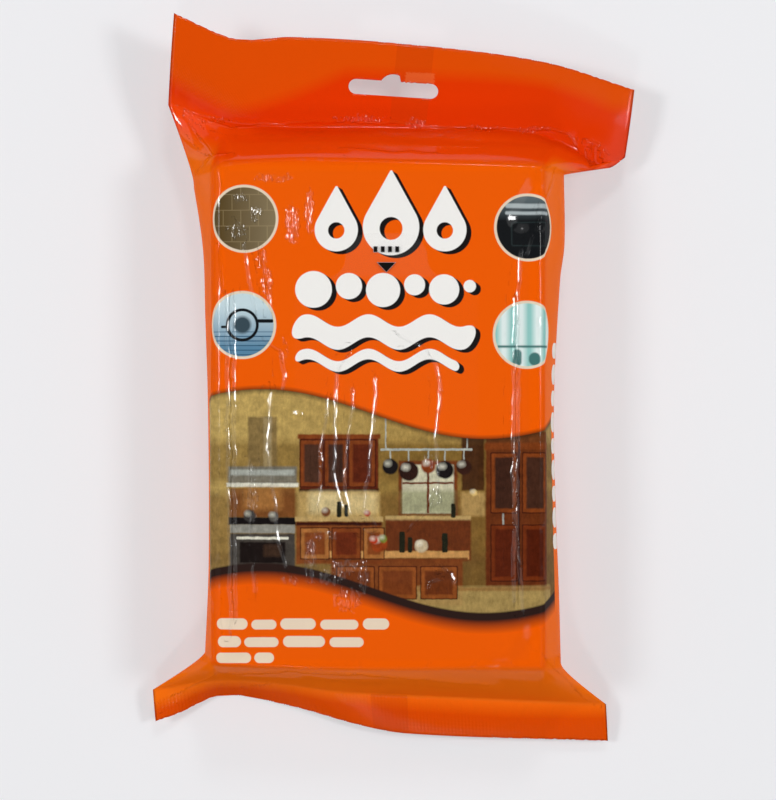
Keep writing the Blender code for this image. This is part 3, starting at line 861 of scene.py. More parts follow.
# Where the sealed header is painted paler, as painted light: (x from, x to, y there, y there), and the patch
# torn beside the slot, which gets a painted sheen
HEADER_PAINTED_LIGHT = (-54.0, -20.0, 102.0, 118.0)
TORN_PATCH = (3.2, 116.2, 4.6, 2.4)
SMALL_LINES = (
    (-46.4, -63.6, 4.8, 1.7), (-36.6, -63.8, 3.8, 1.5), (-26.2, -63.6, 5.4, 1.7), (-13.6, -63.8, 5.8, 1.5),
    (-2.4, -63.6, 4.0, 1.7),
    (-47.2, -69.0, 3.6, 1.7), (-37.4, -69.2, 5.2, 1.5), (-24.4, -69.0, 6.4, 1.7), (-11.4, -69.2, 5.2, 1.5),
    (-46.0, -74.0, 5.4, 1.6), (-36.6, -74.0, 3.0, 1.6),
)
SIDE_MARKS = tuple((63.6, 20.0 - 7.4 * i, 4.2, 2.4 + 0.7 * (i % 2)) for i in range(9))
CIRCLES = ((-42.6, 60.0), (-43.2, 27.6), (44.0, 57.4), (43.6, 24.6))
CIRCLE_RADIUS = 10.4
CIRCLE_RING = 0.8


def distance_of(nodes, place, boxes, box_group, corner=None):
    """Distance outside the nearest of several rounded boxes."""
    nearest = None
    for x, y, half_x, half_y in boxes:
        radius = min(half_x, half_y) if corner is None else corner
        distance = nodes.group(
            box_group, Place=place, Centre=(x, y, 0), Half_Size=(half_x, half_y, 0), Corner=radius
        )["Distance"]
        nearest = distance if nearest is None else nodes.maths("MINIMUM", nearest, distance)
    return nearest


def title_group(box_group, drop):
    """Distance outside the bold white shapes: drops over bubbles over waves."""
    group, nodes, given, out = new_group("title_shapes", {"Place": "Vector"}, {"Distance": "Float"})
    place = given["Place"]
    angle = nodes.times(nodes.split(place)[0], 2 * math.pi / WAVE_PERIOD)
    rise = nodes.times(nodes.maths("SINE", angle), WAVE_RISE)
    waved = nodes.vector("ADD", place, nodes.combine(0.0, rise))
    nearest = distance_of(nodes, waved, TITLE_WAVES, box_group)
    for x, y, radius in TITLE_BUBBLES:
        nearest = nodes.maths("MINIMUM", nearest, away_from_disc(nodes, place, x, y, radius))
    for x, y, radius, height in TITLE_DROPS:
        distance = nodes.group(drop, Place=place, Centre=(x, y, 0), Radius=radius, Height=height)["Distance"]
        nearest = nodes.maths("MINIMUM", nearest, distance)
    for x, y, radius in TITLE_HOLES:
        hole = nodes.times(away_from_disc(nodes, place, x, y, radius), -1.0)
        nearest = nodes.larger(nearest, hole)
    nodes.put(out["Distance"], nearest)
    return group


def away_from_disc(nodes, place, x, y, radius):
    away = nodes.vector("LENGTH", nodes.vector("SUBTRACT", place, (x, y, 0)))
    return nodes.minus(away, radius)


def inside(nodes, distance, soft=0.12):
    """1 inside a shape and 0 outside, with a soft edge in millimetres."""
    return nodes.range(distance, soft, -soft)


# Picture band: fields of colour, in millimetres: (x, y, half width, half height, colour, soft edge)
WOOD = (104, 40, 17)
DARK_WOOD = (60, 22, 12)
WARM_WOOD = (132, 64, 26)
PALE_WOOD = (176, 112, 56)
RED_WOOD = (118, 50, 20)
LIT_WOOD = (150, 80, 34)
STEEL = (178, 182, 172)
BRIGHT = (232, 228, 208)
WALL = (150, 118, 56)
CEILING = (176, 144, 78)
COUNTER = (196, 164, 104)
INK = (26, 20, 20)
BOTTLE = (34, 34, 20)
LAMP_LIGHT = (206, 176, 104)
BAND_FIELDS = (
    (0, -14, 60, 5.0, (124, 92, 40), 3.0),
    (0, -34, 60, 9.0, (112, 74, 34), 3.0),
    (0, -52, 60, 8.0, (84, 50, 26), 3.0),
    (-37, -9, 4.4, 8.5, (132, 108, 66), 0.4),
    (-35.4, -9, 1.2, 8.5, (168, 146, 102), 0.4),
    (-37, -18.6, 10.5, 3.0, (120, 118, 108), 0.4),
    (-37, -17.4, 9.8, 0.8, STEEL, 0.4),
    (-37, -21.2, 11.0, 0.6, BRIGHT, 0.25),
    (-37, -26.6, 10.0, 4.4, (122, 62, 28), 0.5),
    (-37, -25.4, 5.0, 2.4, (190, 132, 70), 2.0),
    (-37, -32.2, 10.4, 1.2, INK, 0.3),
    (-37, -34.6, 10.0, 1.3, (150, 148, 138), 0.25),
    (-37, -42.0, 10.0, 6.0, (72, 66, 60), 0.3),
    (-37, -37.4, 8.0, 0.4, BRIGHT, 0.2),
    (-37, -41.8, 7.0, 3.2, (30, 22, 20), 0.3),
    (-34, -41.2, 2.4, 1.6, (74, 52, 38), 0.8),
    (-13.6, -14.6, 12.0, 8.0, WOOD, 0.3),
    (-13.6, -6.4, 12.6, 0.7, WARM_WOOD, 0.3),
    (-13.6, -22.8, 12.2, 0.5, DARK_WOOD, 0.3),
    (-13.6, -27.2, 12.2, 3.8, (206, 172, 106), 0.8),
    (-18.0, -26.6, 4.0, 2.4, (240, 222, 168), 2.0),
    (-6.6, -26.6, 3.6, 2.2, (236, 214, 156), 2.0),
    (-13.6, -31.6, 13.4, 0.8, COUNTER, 0.25),
    (-13.6, -38.8, 13.0, 6.4, WARM_WOOD, 0.4),
    (-13.6, -33.0, 13.0, 0.5, DARK_WOOD, 0.3),
    (13.5, -22.4, 9.0, 8.6, (118, 60, 26), 0.3),
    (13.5, -22.4, 7.8, 7.4, (214, 208, 176), 0.3),
    (13.5, -26.4, 7.8, 3.0, (128, 132, 84), 1.4),
    (13.5, -22.4, 0.35, 7.4, WOOD, 0.2),
    (13.5, -20.6, 7.8, 0.3, WOOD, 0.2),
    (13.5, -31.4, 13.0, 0.8, COUNTER, 0.25),
    (13.5, -38.0, 13.0, 6.2, WOOD, 0.4),
    (27.2, -14.4, 3.4, 8.4, DARK_WOOD, 0.4),
    (27.2, -27.0, 3.4, 3.4, (196, 160, 98), 0.8),
    (41.5, -29.0, 10.4, 24.0, WOOD, 0.4),
    (41.5, -9.4, 10.8, 1.0, WARM_WOOD, 0.4),
    (36.4, -30.0, 0.25, 9.0, STEEL, 0.2),
    (41.2, -30.0, 0.3, 22.0, DARK_WOOD, 0.2),
    (4.0, -42.6, 22.0, 1.3, (206, 152, 88), 0.25),
    (4.0, -43.9, 21.6, 0.5, (118, 66, 30), 0.25),
    (4.0, -51.0, 20.0, 7.0, (128, 62, 26), 0.4),
    (31.0, -57.0, 24.0, 4.6, (190, 162, 98), 0.8),
    (31.0, -53.0, 24.0, 0.5, (150, 110, 60), 0.4),
    (-34.0, -51.0, 17.0, 3.0, (168, 132, 72), 0.8),
)
# Cupboard doors: (x, y, half width, half height, frame, panel)
BAND_DOORS = (
    (-22.0, -14.6, 3.3, 7.0, WARM_WOOD, (70, 46, 34)), (-14.6, -14.6, 3.3, 7.0, WARM_WOOD, (60, 40, 32)),
    (-6.6, -14.6, 3.9, 7.0, WARM_WOOD, (92, 34, 16)), (-21.0, -39.0, 4.2, 4.6, PALE_WOOD, WARM_WOOD),
    (-11.4, -39.0, 4.2, 4.6, WARM_WOOD, WOOD), (-3.0, -39.0, 3.0, 4.6, PALE_WOOD, WARM_WOOD),
    (36.6, -20.6, 3.8, 9.0, WARM_WOOD, (56, 34, 26)), (46.2, -20.6, 3.8, 9.0, WARM_WOOD, (64, 40, 30)),
    (36.6, -42.0, 3.8, 8.4, RED_WOOD, (88, 32, 14)), (46.2, -42.0, 3.8, 8.4, RED_WOOD, (80, 28, 13)),
    (-8.6, -51.0, 5.6, 4.8, LIT_WOOD, (112, 52, 22)), (4.2, -51.0, 5.6, 4.8, LIT_WOOD, (120, 58, 25)),
    (16.8, -51.0, 5.4, 4.8, LIT_WOOD, (104, 48, 20)),
)
# Round things: (x, y, radius, colour)
BAND_ROUNDS = (
    (2.0, -15.6, 2.4, INK), (7.6, -17.0, 3.0, (46, 24, 18)), (13.6, -15.4, 2.2, (138, 60, 22)),
    (18.6, -16.6, 2.7, INK), (24.4, -15.8, 2.3, (58, 30, 20)), (-1.4, -39.0, 2.6, (150, 62, 22)),
    (-3.0, -38.0, 1.2, (188, 60, 30)), (-0.2, -37.6, 1.2, (120, 130, 50)),
    (11.4, -39.8, 2.0, (206, 186, 150)),
    (27.4, -23.6, 1.0, (230, 196, 120)), (-41.0, -30.6, 1.8, (60, 56, 54)), (-33.6, -30.8, 1.5, (92, 88, 82)),
    (-17.6, -29.4, 1.4, (120, 70, 40)), (-5.0, -29.8, 1.0, (170, 60, 34)),
)
BAND_BOTTLES = (
    (-13.6, -28.6, 0.7, 2.4), (-11.4, -29.0, 0.6, 1.9), (5.6, -38.6, 0.9, 3.2), (8.0, -39.4, 0.7, 2.4),
    (18.6, -38.8, 0.9, 3.0), (21.2, -29.0, 0.7, 2.2),
)
RACK = (
    (13.0, -10.4, 14.0, 0.35), (2.0, -12.0, 0.2, 2.0), (13.6, -12.0, 0.2, 2.0), (24.4, -12.0, 0.2, 2.0),
    (7.6, -12.0, 0.2, 2.0), (18.6, -12.0, 0.2, 2.0), (0.6, -4.6, 0.2, 6.0), (25.4, -7.6, 0.2, 3.0),
)
# Wavy edges of the band: middle of the upper and of the lower one, shift, period and rise of their wave
BAND_TOP = 0.4
BAND_BOTTOM = -52.6
BAND_WAVE_SHIFT = 37.2
BAND_WAVE_PERIOD = 136
BAND_WAVE_RISE = 7.6


def band_group(box_group):
    """The picture band: a plain kitchen of simple fields of colour, seen in warm lamp light."""
    group, nodes, given, out = new_group("picture_band", {"Place": "Vector"}, {"Color": "Color"})
    wobble = nodes.noise(given["Place"], 0.5, 3.0)
    shift = nodes.times(nodes.minus(wobble, 0.5), 0.5)
    place = nodes.vector("ADD", given["Place"], nodes.combine(shift, shift))
    x, y = nodes.split(place)
    colour = nodes.paint(rgb(*WALL), rgb(*CEILING), nodes.range(y, -9.6, -8.4))
    colour = nodes.paint(colour, rgb(*LAMP_LIGHT), nodes.range(x, 10, -46, 0.0, 0.7))

    def lay(boxes, tint, soft, corner=0.3):
        nonlocal colour
        distance = distance_of(nodes, place, boxes, box_group, corner)
        colour = nodes.paint(colour, rgb(*tint), inside(nodes, distance, soft))

    for x, y, half_x, half_y, tint, soft in BAND_FIELDS:
        lay(((x, y, half_x, half_y),), tint, soft)
    for x, y, half_x, half_y, frame_tint, panel_tint in BAND_DOORS:
        lay(((x, y, half_x + 0.3, half_y + 0.3),), DARK_WOOD, 0.2)
        lay(((x, y, half_x, half_y),), frame_tint, 0.2)
        lay(((x, y, half_x - 1.1, half_y - 1.2),), panel_tint, 0.35)
    lay(RACK, STEEL, 0.15)
    for x, y, radius, tint in BAND_ROUNDS:
        lay(((x, y, radius, radius),), tint, 0.3, radius)
        lay(((x - radius * 0.3, y + radius * 0.4, radius * 0.3, radius * 0.2),), BRIGHT, 0.9, radius * 0.2)
    lay(BAND_BOTTLES, BOTTLE, 0.2, 0.5)
    blots = nodes.noise(place, 0.35, 5.0, 0.65)
    grain = nodes.noise(nodes.vector("MULTIPLY", place, (1.4, 0.5, 1)), 1.0, 3.0, 0.6)
    blots = nodes.range(blots, 0.3, 0.7, 0.72, 1.18)
    shade = nodes.times(blots, nodes.range(grain, 0.3, 0.7, 0.86, 1.1))
    out_colour = nodes.node("ShaderNodeMix", data_type="RGBA", blend_type="MULTIPLY")
    nodes.put(out_colour.inputs[0], 1.0)
    nodes.put(out_colour.inputs[6], colour)
    nodes.put(out_colour.inputs[7], nodes.combine(shade, shade, shade))
    nodes.put(out["Color"], out_colour.outputs[2])
    return group


def wave_height(nodes, x, middle):
    """Height of a wavy edge across the panel."""
    angle = nodes.times(nodes.plus(x, BAND_WAVE_SHIFT), 2 * math.pi / BAND_WAVE_PERIOD)
    return nodes.plus(nodes.times(nodes.maths("COSINE", angle), BAND_WAVE_RISE), middle)


def tile_picture(nodes, local, box_group):
    """Brick-laid olive wall tiles."""
    brick = nodes.node("ShaderNodeTexBrick")
    nodes.put(brick.inputs["Vector"], nodes.vector("ADD", local, (20, 21.4, 0)))
    for name, value in (("Scale", 1.0), ("Mortar Size", 0.16), ("Brick Width", 5.4), ("Row Height", 4.8)):
        nodes.put(brick.inputs[name], value)
    nodes.put(brick.inputs["Color1"], (*rgb(86, 68, 38), 1))
    nodes.put(brick.inputs["Color2"], (*rgb(98, 80, 48), 1))
    nodes.put(brick.inputs["Mortar"], (*rgb(126, 108, 74), 1))
    light = nodes.range(nodes.split(local)[0], -7, 10, 0.0, 0.45)
    return nodes.paint(brick.outputs["Color"], rgb(176, 160, 126), light)


def pan_picture(nodes, local, box_group):
    """A dark pan from above on a pale blue top."""
    y = nodes.split(local)[1]
    colour = nodes.paint(rgb(92, 138, 168), rgb(206, 226, 232), nodes.range(y, -7, 6))
    stripes = nodes.maths("PINGPONG", y, 0.7)
    lower = nodes.range(y, -1.5, -2.5)
    stripes = nodes.times(lower, nodes.range(stripes, 0.45, 0.6))
    colour = nodes.paint(colour, rgb(60, 100, 128), stripes)
    rim = nodes.absolute(nodes.minus(nodes.vector("LENGTH", local), 4.6))
    ring = nodes.minus(rim, 0.45)
    colour = nodes.paint(colour, rgb(22, 26, 30), inside(nodes, ring))
    bowl = nodes.minus(nodes.vector("LENGTH", local), 2.6)
    colour = nodes.paint(colour, rgb(60, 78, 88), inside(nodes, bowl, 0.5))
    handle = distance_of(nodes, local, ((7.0, 1.2, 2.6, 0.55), (-5.4, -0.6, 1.2, 0.4)), box_group)
    return nodes.paint(colour, rgb(22, 26, 30), inside(nodes, handle))


def glass_picture(nodes, local, box_group):
    """A dark glass front with pale bars."""
    colour = nodes.paint(rgb(24, 26, 28), rgb(96, 108, 112), nodes.range(nodes.split(local)[1], 2, 9))
    frame_box = distance_of(nodes, local, ((1.0, -2.0, 6.0, 3.6),), box_group, 0.6)
    colour = nodes.paint(colour, rgb(52, 66, 66), inside(nodes, nodes.absolute(frame_box), 0.35))
    bars = distance_of(nodes, local, ((0.5, 4.4, 7.5, 0.5), (0.5, 6.6, 7.5, 0.7)), box_group)
    return nodes.paint(colour, rgb(176, 186, 188), inside(nodes, bars, 0.25))


def curtain_picture(nodes, local, box_group):
    """Soft pale green folds over a shelf."""
    folds = nodes.maths("PINGPONG", nodes.plus(nodes.split(local)[0], 20.0), 2.6)
    colour = nodes.paint(rgb(150, 206, 200), rgb(232, 246, 243), nodes.range(folds, 0.4, 2.2))
    boxes = ((0, -3.6, 9, 0.35), (-3, -7.0, 1.4, 2.6), (2.4, -7.4, 1.8, 2.0))
    shelf = distance_of(nodes, local, boxes, box_group)
    return nodes.paint(colour, rgb(70, 120, 116), inside(nodes, shelf, 0.25))


CIRCLE_PICTURES = (tile_picture, pan_picture, glass_picture, curtain_picture)


def film_place(nodes):
    """Where a point is on the flat web, in millimetres from the middle of the pack's base.

    The print is centred there, while the panel has slid to one side.
    """
    source = nodes.node("ShaderNodeUVMap", uv_map="film")
    centred = nodes.vector("SUBTRACT", source.outputs[0], (0.5 - LEAN / WEB_WIDTH, 0.5, 0))
    return nodes.vector("MULTIPLY", centred, (WEB_WIDTH / MM, WEB_LENGTH / MM, 1))


# Painted light on the end slopes, where light reaches the film at a slant: (middle, half width, colour) along
# the web
SLOPE_PAINTED_LIGHT = ((87.0, 9.0, (250, 72, 3)), (-92.0, 16.0, (255, 116, 18)))

# Zones on the flat web, in millimetres: where the fade of each starts and ends
FRONT_EDGE = (60.0, 59.8)
STACK_ENDS = (82.0, 76.0)
# Painted light: the foot's seal is painted paler past this zone
FOOT_PAINTED_LIGHT = (-84.0, -96.0)
# The walls between these zones get a painted sheen
WALL_INNER = (51.0, 55.0)
WALL_OUTER = (96.0, 88.0)
WALL_ENDS = (90.0, 80.0)

# Lap seal seen through both sealed ends
LAP_MIDDLE = (LAP_OFFSET + LEAN) / MM
LAP_HALF = LAP_WIDTH / 2 / MM
LAP_STRIPS = ((LAP_MIDDLE, 118.0, LAP_HALF, 16.0), (LAP_MIDDLE, -114.0, LAP_HALF, 8.0))

# Colours of the film: painted sheen on the walls and on the torn patch, the lap's tone, and inks
WALL_PAINTED_SHEEN = (252, 110, 12)
LAP_TONE = (206, 62, 6)
TORN_PAINTED_SHEEN = (238, 118, 60)
BAND_SHADOW = (46, 30, 26)
BAND_EDGE = (60, 36, 18)
RING_INK = (238, 218, 192)
TITLE_SHADOW = (26, 22, 22)
TITLE_INK = (252, 250, 246)
LINE_INK = (244, 222, 196)
MARK_INK = (243, 236, 228)


def film_tones(nodes, place, x, y, front, box_group, settings):
    """The bare film: over the stack, on the slopes and walls, at the seals, and where it is torn. Slopes,
    seals, walls and the torn patch are painted lighter, as painted light.
    """
    backed = nodes.times(nodes.range(nodes.absolute(y), *STACK_ENDS), front)
    web_x = nodes.absolute(nodes.minus(x, LEAN / MM))
    # Painted light: the header is painted paler above a slanting line, and the foot's seal paler too
    turn = nodes.range(x, *HEADER_PAINTED_LIGHT)
    pale = nodes.range(nodes.minus(y, turn), -2.5, 2.5)
    pale = nodes.larger(pale, nodes.range(y, *FOOT_PAINTED_LIGHT))
    colour = nodes.paint(tuple(settings.deep_orange), tuple(settings.seal_painted_light), pale)
    # Painted light: the slopes at the ends of the stack are painted lighter
    for middle, half, tint in SLOPE_PAINTED_LIGHT:
        away = nodes.absolute(nodes.minus(y, middle))
        colour = nodes.paint(colour, rgb(*tint), nodes.range(away, half + 3.0, half - 2.0))
    colour = nodes.paint(colour, tuple(settings.orange), backed)
    # Painted sheen: the side walls are painted lighter
    wall = nodes.times(nodes.range(web_x, *WALL_INNER), nodes.range(web_x, *WALL_OUTER))
    wall = nodes.times(wall, nodes.range(nodes.absolute(y), *WALL_ENDS))
    colour = nodes.paint(colour, rgb(*WALL_PAINTED_SHEEN), wall)
    lap = distance_of(nodes, place, LAP_STRIPS, box_group, 0.1)
    colour = nodes.paint(colour, rgb(*LAP_TONE), nodes.times(inside(nodes, lap), 0.35))
    # Painted sheen: the crumpled patch torn beside the slot is painted lighter
    rough_edge = nodes.times(nodes.noise(place, 1.6, 3.0), 2.0)
    torn = nodes.plus(distance_of(nodes, place, (TORN_PATCH,), box_group, 0.6), rough_edge)
    return nodes.paint(colour, rgb(*TORN_PAINTED_SHEEN), nodes.times(nodes.range(torn, 1.1, 0.7), 0.45))


def lay_band(nodes, colour, place, x, y, front, box_group):
    """The picture band over the film, with a dark upper edge and a shadow under its lower one."""
    top = nodes.minus(wave_height(nodes, x, BAND_TOP), y)
    bottom = nodes.minus(y, wave_height(nodes, x, BAND_BOTTOM))
    shadow = nodes.range(bottom, -6.6, -2.2)
    below = nodes.maths("LESS_THAN", bottom, 0.4)
    dark = nodes.times(nodes.times(shadow, below), front)
    colour = nodes.paint(colour, rgb(*BAND_SHADOW), dark)
    picture = nodes.group(band_group(box_group), Place=place)["Color"]
    on_band = nodes.times(inside(nodes, nodes.times(top, -1.0)), nodes.range(bottom, -0.3, 0.3))
    on_band = nodes.times(on_band, front)
    edge = nodes.times(nodes.range(top, -1.4, 0.0), nodes.range(top, 1.6, 0.0))
    colour = nodes.paint(colour, picture, on_band)
    return nodes.paint(colour, rgb(*BAND_EDGE), nodes.times(nodes.times(edge, 0.75), front))


def lay_circles(nodes, colour, place, box_group):
    """The four round pictures, each in its pale ring."""
    for centre, picture_of in zip(CIRCLES, CIRCLE_PICTURES):
        local = nodes.vector("SUBTRACT", place, (*centre, 0))
        away = nodes.vector("LENGTH", local)
        colour = nodes.paint(colour, rgb(*RING_INK), inside(nodes, nodes.minus(away, CIRCLE_RADIUS)))
        disc = inside(nodes, nodes.minus(away, CIRCLE_RADIUS - CIRCLE_RING))
        colour = nodes.paint(colour, picture_of(nodes, local, box_group), disc)
    return colour


def printed_colour(nodes, place, settings):
    """Every printed shape on the web of film."""
    box_group = rounded_box_group()
    title = title_group(box_group, drop_group())
    x, y = nodes.split(place)
    front = nodes.range(nodes.absolute(x), *FRONT_EDGE)
    colour = film_tones(nodes, place, x, y, front, box_group, settings)
    colour = lay_band(nodes, colour, place, x, y, front, box_group)
    colour = lay_circles(nodes, colour, place, box_group)
    for share in (1.0, 0.66, 0.33):
        moved = nodes.vector("ADD", place, (-1.5 * share, 0.9 * share, 0))
        shade = nodes.group(title, Place=moved)["Distance"]
        colour = nodes.paint(colour, rgb(*TITLE_SHADOW), inside(nodes, shade))
    colour = nodes.paint(colour, rgb(*TITLE_INK), inside(nodes, nodes.group(title, Place=place)["Distance"]))
    for bars, ink in ((SMALL_LINES, LINE_INK), (SIDE_MARKS, MARK_INK)):
        colour = nodes.paint(colour, rgb(*ink), inside(nodes, distance_of(nodes, place, bars, box_group)))
    return colour


# Knurl of the seals, in millimetres: where it fades in at each end, its period, and its rise in diamonds at
# the header and in a grid at the foot
HEADER_KNURL = (100.5, 101.5)
FOOT_KNURL = (-106.0, -107.0)
KNURL_PERIOD = 1.1
DIAMOND_RISE = 0.012
GRID_RISE = 0.02


def crimp_height(nodes, place):
    """Height of the knurled seals across both ends of the film, in millimetres."""
    y = nodes.split(place)[1]
    header = nodes.range(y, *HEADER_KNURL)
    foot = nodes.range(y, *FOOT_KNURL)
    pace = 2 * math.pi / KNURL_PERIOD
    knurl = nodes.vector("SINE", nodes.vector("MULTIPLY", place, (pace, pace, 0)))
    across, along = nodes.split(knurl)
    diamonds = nodes.times(nodes.times(across, along), DIAMOND_RISE)
    grid = nodes.times(nodes.plus(across, nodes.times(along, 0.5)), GRID_RISE)
    return nodes.plus(nodes.times(diamonds, header), nodes.times(grid, foot))


# Noise levels between which a crease line and a crumpled patch fade in, and half the period of its pleats
LINE_LEVELS = (0.53, 0.60)
PATCH_LEVELS = (0.80, 0.86)
PLEAT_WIDTH = 0.7


def wrinkle_height(nodes, place):
    """Height of the sharp creases and crumples, in millimetres. Both are broken up along their length."""
    side, creased, crumpled = [
        nodes.node("ShaderNodeAttribute", attribute_name=name).outputs["Fac"]
        for name in ("crease_side", "creased", "crumpled")
    ]
    ridge = nodes.minus(CREASE_HALF_WIDTH, nodes.absolute(side))
    ridge = nodes.times(nodes.larger(ridge, 0.0), CREASE_SLOPE)
    breaks = nodes.noise(nodes.vector("MULTIPLY", place, (0.6, 0.34, 1)), 1.0, 3.0, 0.6)
    breaks = nodes.plus(breaks, nodes.times(creased, 0.2))
    dots = nodes.noise(place, 1.3, 1.0)
    breaks = nodes.plus(breaks, nodes.times(nodes.minus(dots, 0.5), 0.35))
    line = nodes.times(ridge, nodes.range(breaks, *LINE_LEVELS))
    warp = nodes.noise(nodes.vector("MULTIPLY", place, (0.4, 0.2, 1)), 1.0, 2.0, 0.5)
    across = nodes.plus(nodes.split(place)[0], nodes.times(warp, 2.4))
    pleats = nodes.times(nodes.maths("PINGPONG", across, PLEAT_WIDTH), CREASE_SLOPE)
    shards = nodes.noise(nodes.vector("MULTIPLY", place, (0.9, 0.6, 1)), 1.0, 2.0)
    shards = nodes.plus(shards, nodes.times(crumpled, 0.4))
    patch = nodes.times(pleats, nodes.range(shards, *PATCH_LEVELS))
    return nodes.plus(line, patch)


# The panel's round edges, in millimetres on the web: middle of each side edge and end edge, half widths
# between which each fades out, and where the side edges end. Then the noise levels of the dents, and the
# share of the gloss that a dent takes
SIDE_EDGE = 49.4
SIDE_EDGE_FADE = (3.4, 2.4)
SIDE_EDGE_ENDS = (80.0, 78.0)
END_EDGE = 77.4
END_EDGE_FADE = (3.2, 2.2)
DENT_LEVELS = (0.66, 0.58)
DENT_SHARE = 0.85


def edge_gloss(nodes, place):
    """Share of the gloss that is left along the panel's round edges, where small dents break it up."""
    x, y = nodes.split(place)
    web_x = nodes.absolute(nodes.minus(x, LEAN / MM))
    along = nodes.absolute(y)
    sides = nodes.range(nodes.absolute(nodes.minus(web_x, SIDE_EDGE)), *SIDE_EDGE_FADE)
    sides = nodes.times(sides, nodes.range(along, *SIDE_EDGE_ENDS))
    ends = nodes.range(nodes.absolute(nodes.minus(along, END_EDGE)), *END_EDGE_FADE)
    dents = nodes.noise(nodes.vector("MULTIPLY", place, (0.35, 0.22, 1)), 1.0, 3.0, 0.6)
    dull = nodes.times(nodes.larger(sides, ends), nodes.range(dents, *DENT_LEVELS))
    return nodes.minus(1.0, nodes.times(dull, DENT_SHARE))


# Gloss of the film: roughness of the print and of the clear coat, then ranges of the coat's weight by facing,
# toward the foot and toward the header, and the rise of a soft ripple in millimetres
PRINT_ROUGHNESS = 0.35
COAT_ROUGHNESS = 0.09
COAT_FACING = (0.22, 0.6, 1.0, 0.15)
COAT_FOOT = (-96.0, -80.0, 0.15, 1.0)
COAT_HEADER = (104.0, 96.0, 0.6, 1.0)
RIPPLE_RISE = 0.03


def film_material(settings):
    """Glossy printed film, orange where nothing is printed, with knurled seals at its ends."""
    material = bpy.data.materials.new("printed_film")
    material.use_nodes = True
    nodes = Nodes(material.node_tree)
    shader = material.node_tree.nodes["Principled BSDF"]
    place = film_place(nodes)
    nodes.put(shader.inputs["Base Color"], printed_colour(nodes, place, settings))
    shader.inputs["Specular IOR Level"].default_value = 0.0
    shader.inputs["Roughness"].default_value = PRINT_ROUGHNESS
    shader.inputs["Coat Roughness"].default_value = COAT_ROUGHNESS
    facing = nodes.node("ShaderNodeLayerWeight").outputs["Facing"]
    weight = nodes.range(facing, *COAT_FACING)
    for zone in (COAT_FOOT, COAT_HEADER):
        weight = nodes.times(weight, nodes.range(nodes.split(place)[1], *zone))
    nodes.put(shader.inputs["Coat Weight"], nodes.times(weight, edge_gloss(nodes, place)))
    ripple = nodes.times(nodes.noise(place, 0.35, 4.0, 0.55), RIPPLE_RISE)
    height = nodes.plus(crimp_height(nodes, place), ripple)
    height = nodes.plus(height, wrinkle_height(nodes, place))
    bump = nodes.node("ShaderNodeBump")
    bump.inputs["Distance"].default_value = MM
    nodes.put(bump.inputs["Height"], height)
    nodes.put(shader.inputs["Normal"], bump.outputs[0])
    nodes.put(shader.inputs["Coat Normal"], bump.outputs[0])
    return material


# Clear label: its roughness, and its haze away from the tab as a share of the tab's own
LABEL_ROUGHNESS = 0.08
CLEAR_SHARE = 0.1
# Ink on the pull tab, in millimetres above the tab's base: tip, top and slope of the pointer, then the row of
# bars with its middle, half width, half height and the bars' period
POINTER_TIP = 1.6
POINTER_TOP = (4.7, 4.5)
POINTER_SLOPE = 0.95
ROW_MIDDLE = 8.6
ROW_HALF_WIDTH = 4.4
ROW_HALF_HEIGHT = 0.9
BAR_PERIOD = 1.1
TAB_INK = (20, 18, 18)


def label_material(settings):
    """Clear plastic with a faintly hazy tab, which carries a small black pointer and a row of bars."""
    material = bpy.data.materials.new("clear_label")
    material.use_nodes = True
    nodes = Nodes(material.node_tree)
    shader = material.node_tree.nodes["Principled BSDF"]
    source = nodes.node("ShaderNodeTexCoord").outputs["Object"]
    x, y = nodes.split(nodes.vector("MULTIPLY", source, (1 / MM, 1 / MM, 0)))
    tab_base = (LABEL_CENTRE_Y + LABEL_LENGTH / 2) / MM
    haze = nodes.range(y, tab_base - 1.0, tab_base + 1.0, CLEAR_SHARE * settings.haze, settings.haze)
    across = nodes.minus(x, LABEL_CENTRE_X / MM)
    away = nodes.absolute(across)
    pointer = nodes.minus(away, nodes.times(nodes.minus(y, tab_base + POINTER_TIP), POINTER_SLOPE))
    below_top = nodes.range(y, tab_base + POINTER_TOP[0], tab_base + POINTER_TOP[1])
    ink = nodes.times(inside(nodes, pointer), below_top)
    from_row = nodes.absolute(nodes.minus(y, tab_base + ROW_MIDDLE))
    row = nodes.larger(nodes.minus(away, ROW_HALF_WIDTH), nodes.minus(from_row, ROW_HALF_HEIGHT))
    bars = nodes.minus(0.5, nodes.maths("PINGPONG", across, BAR_PERIOD))
    ink = nodes.larger(ink, nodes.times(inside(nodes, row), inside(nodes, bars)))
    colour = nodes.paint((0.9, 0.9, 0.9), rgb(*TAB_INK), ink)
    nodes.put(shader.inputs["Base Color"], colour)
    nodes.put(shader.inputs["Alpha"], nodes.larger(haze, ink))
    shader.inputs["Roughness"].default_value = LABEL_ROUGHNESS
    return material


def finish_piece(piece, material, node):
    piece.data.materials.clear()
    piece.data.materials.append(material)
    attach(piece, "root")
    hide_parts(node)


# Lights round the pack: (name, place, width, share of the power of its kind)
SOFT_BOXES = (
    ("left_box", (-1.15, 0.0, 0.85), 1.3, 1.0), ("right_box", (1.15, 0.0, 0.85), 1.3, 1.0),
    ("header_box", (0.0, 1.15, 0.85), 1.3, 0.5), ("foot_box", (0.0, -1.15, 0.85), 1.3, 0.5),
)
SMALL_LAMPS = (
    ("left_lamp", (-0.72, 0.10, 0.84), 0.20, 1.0), ("right_lamp", (0.72, 0.10, 0.84), 0.20, 1.0),
    ("header_lamp", (0.10, 0.80, 0.80), 0.15, 0.45), ("foot_lamp", (-0.12, -0.80, 0.80), 0.12, 0.33),
)


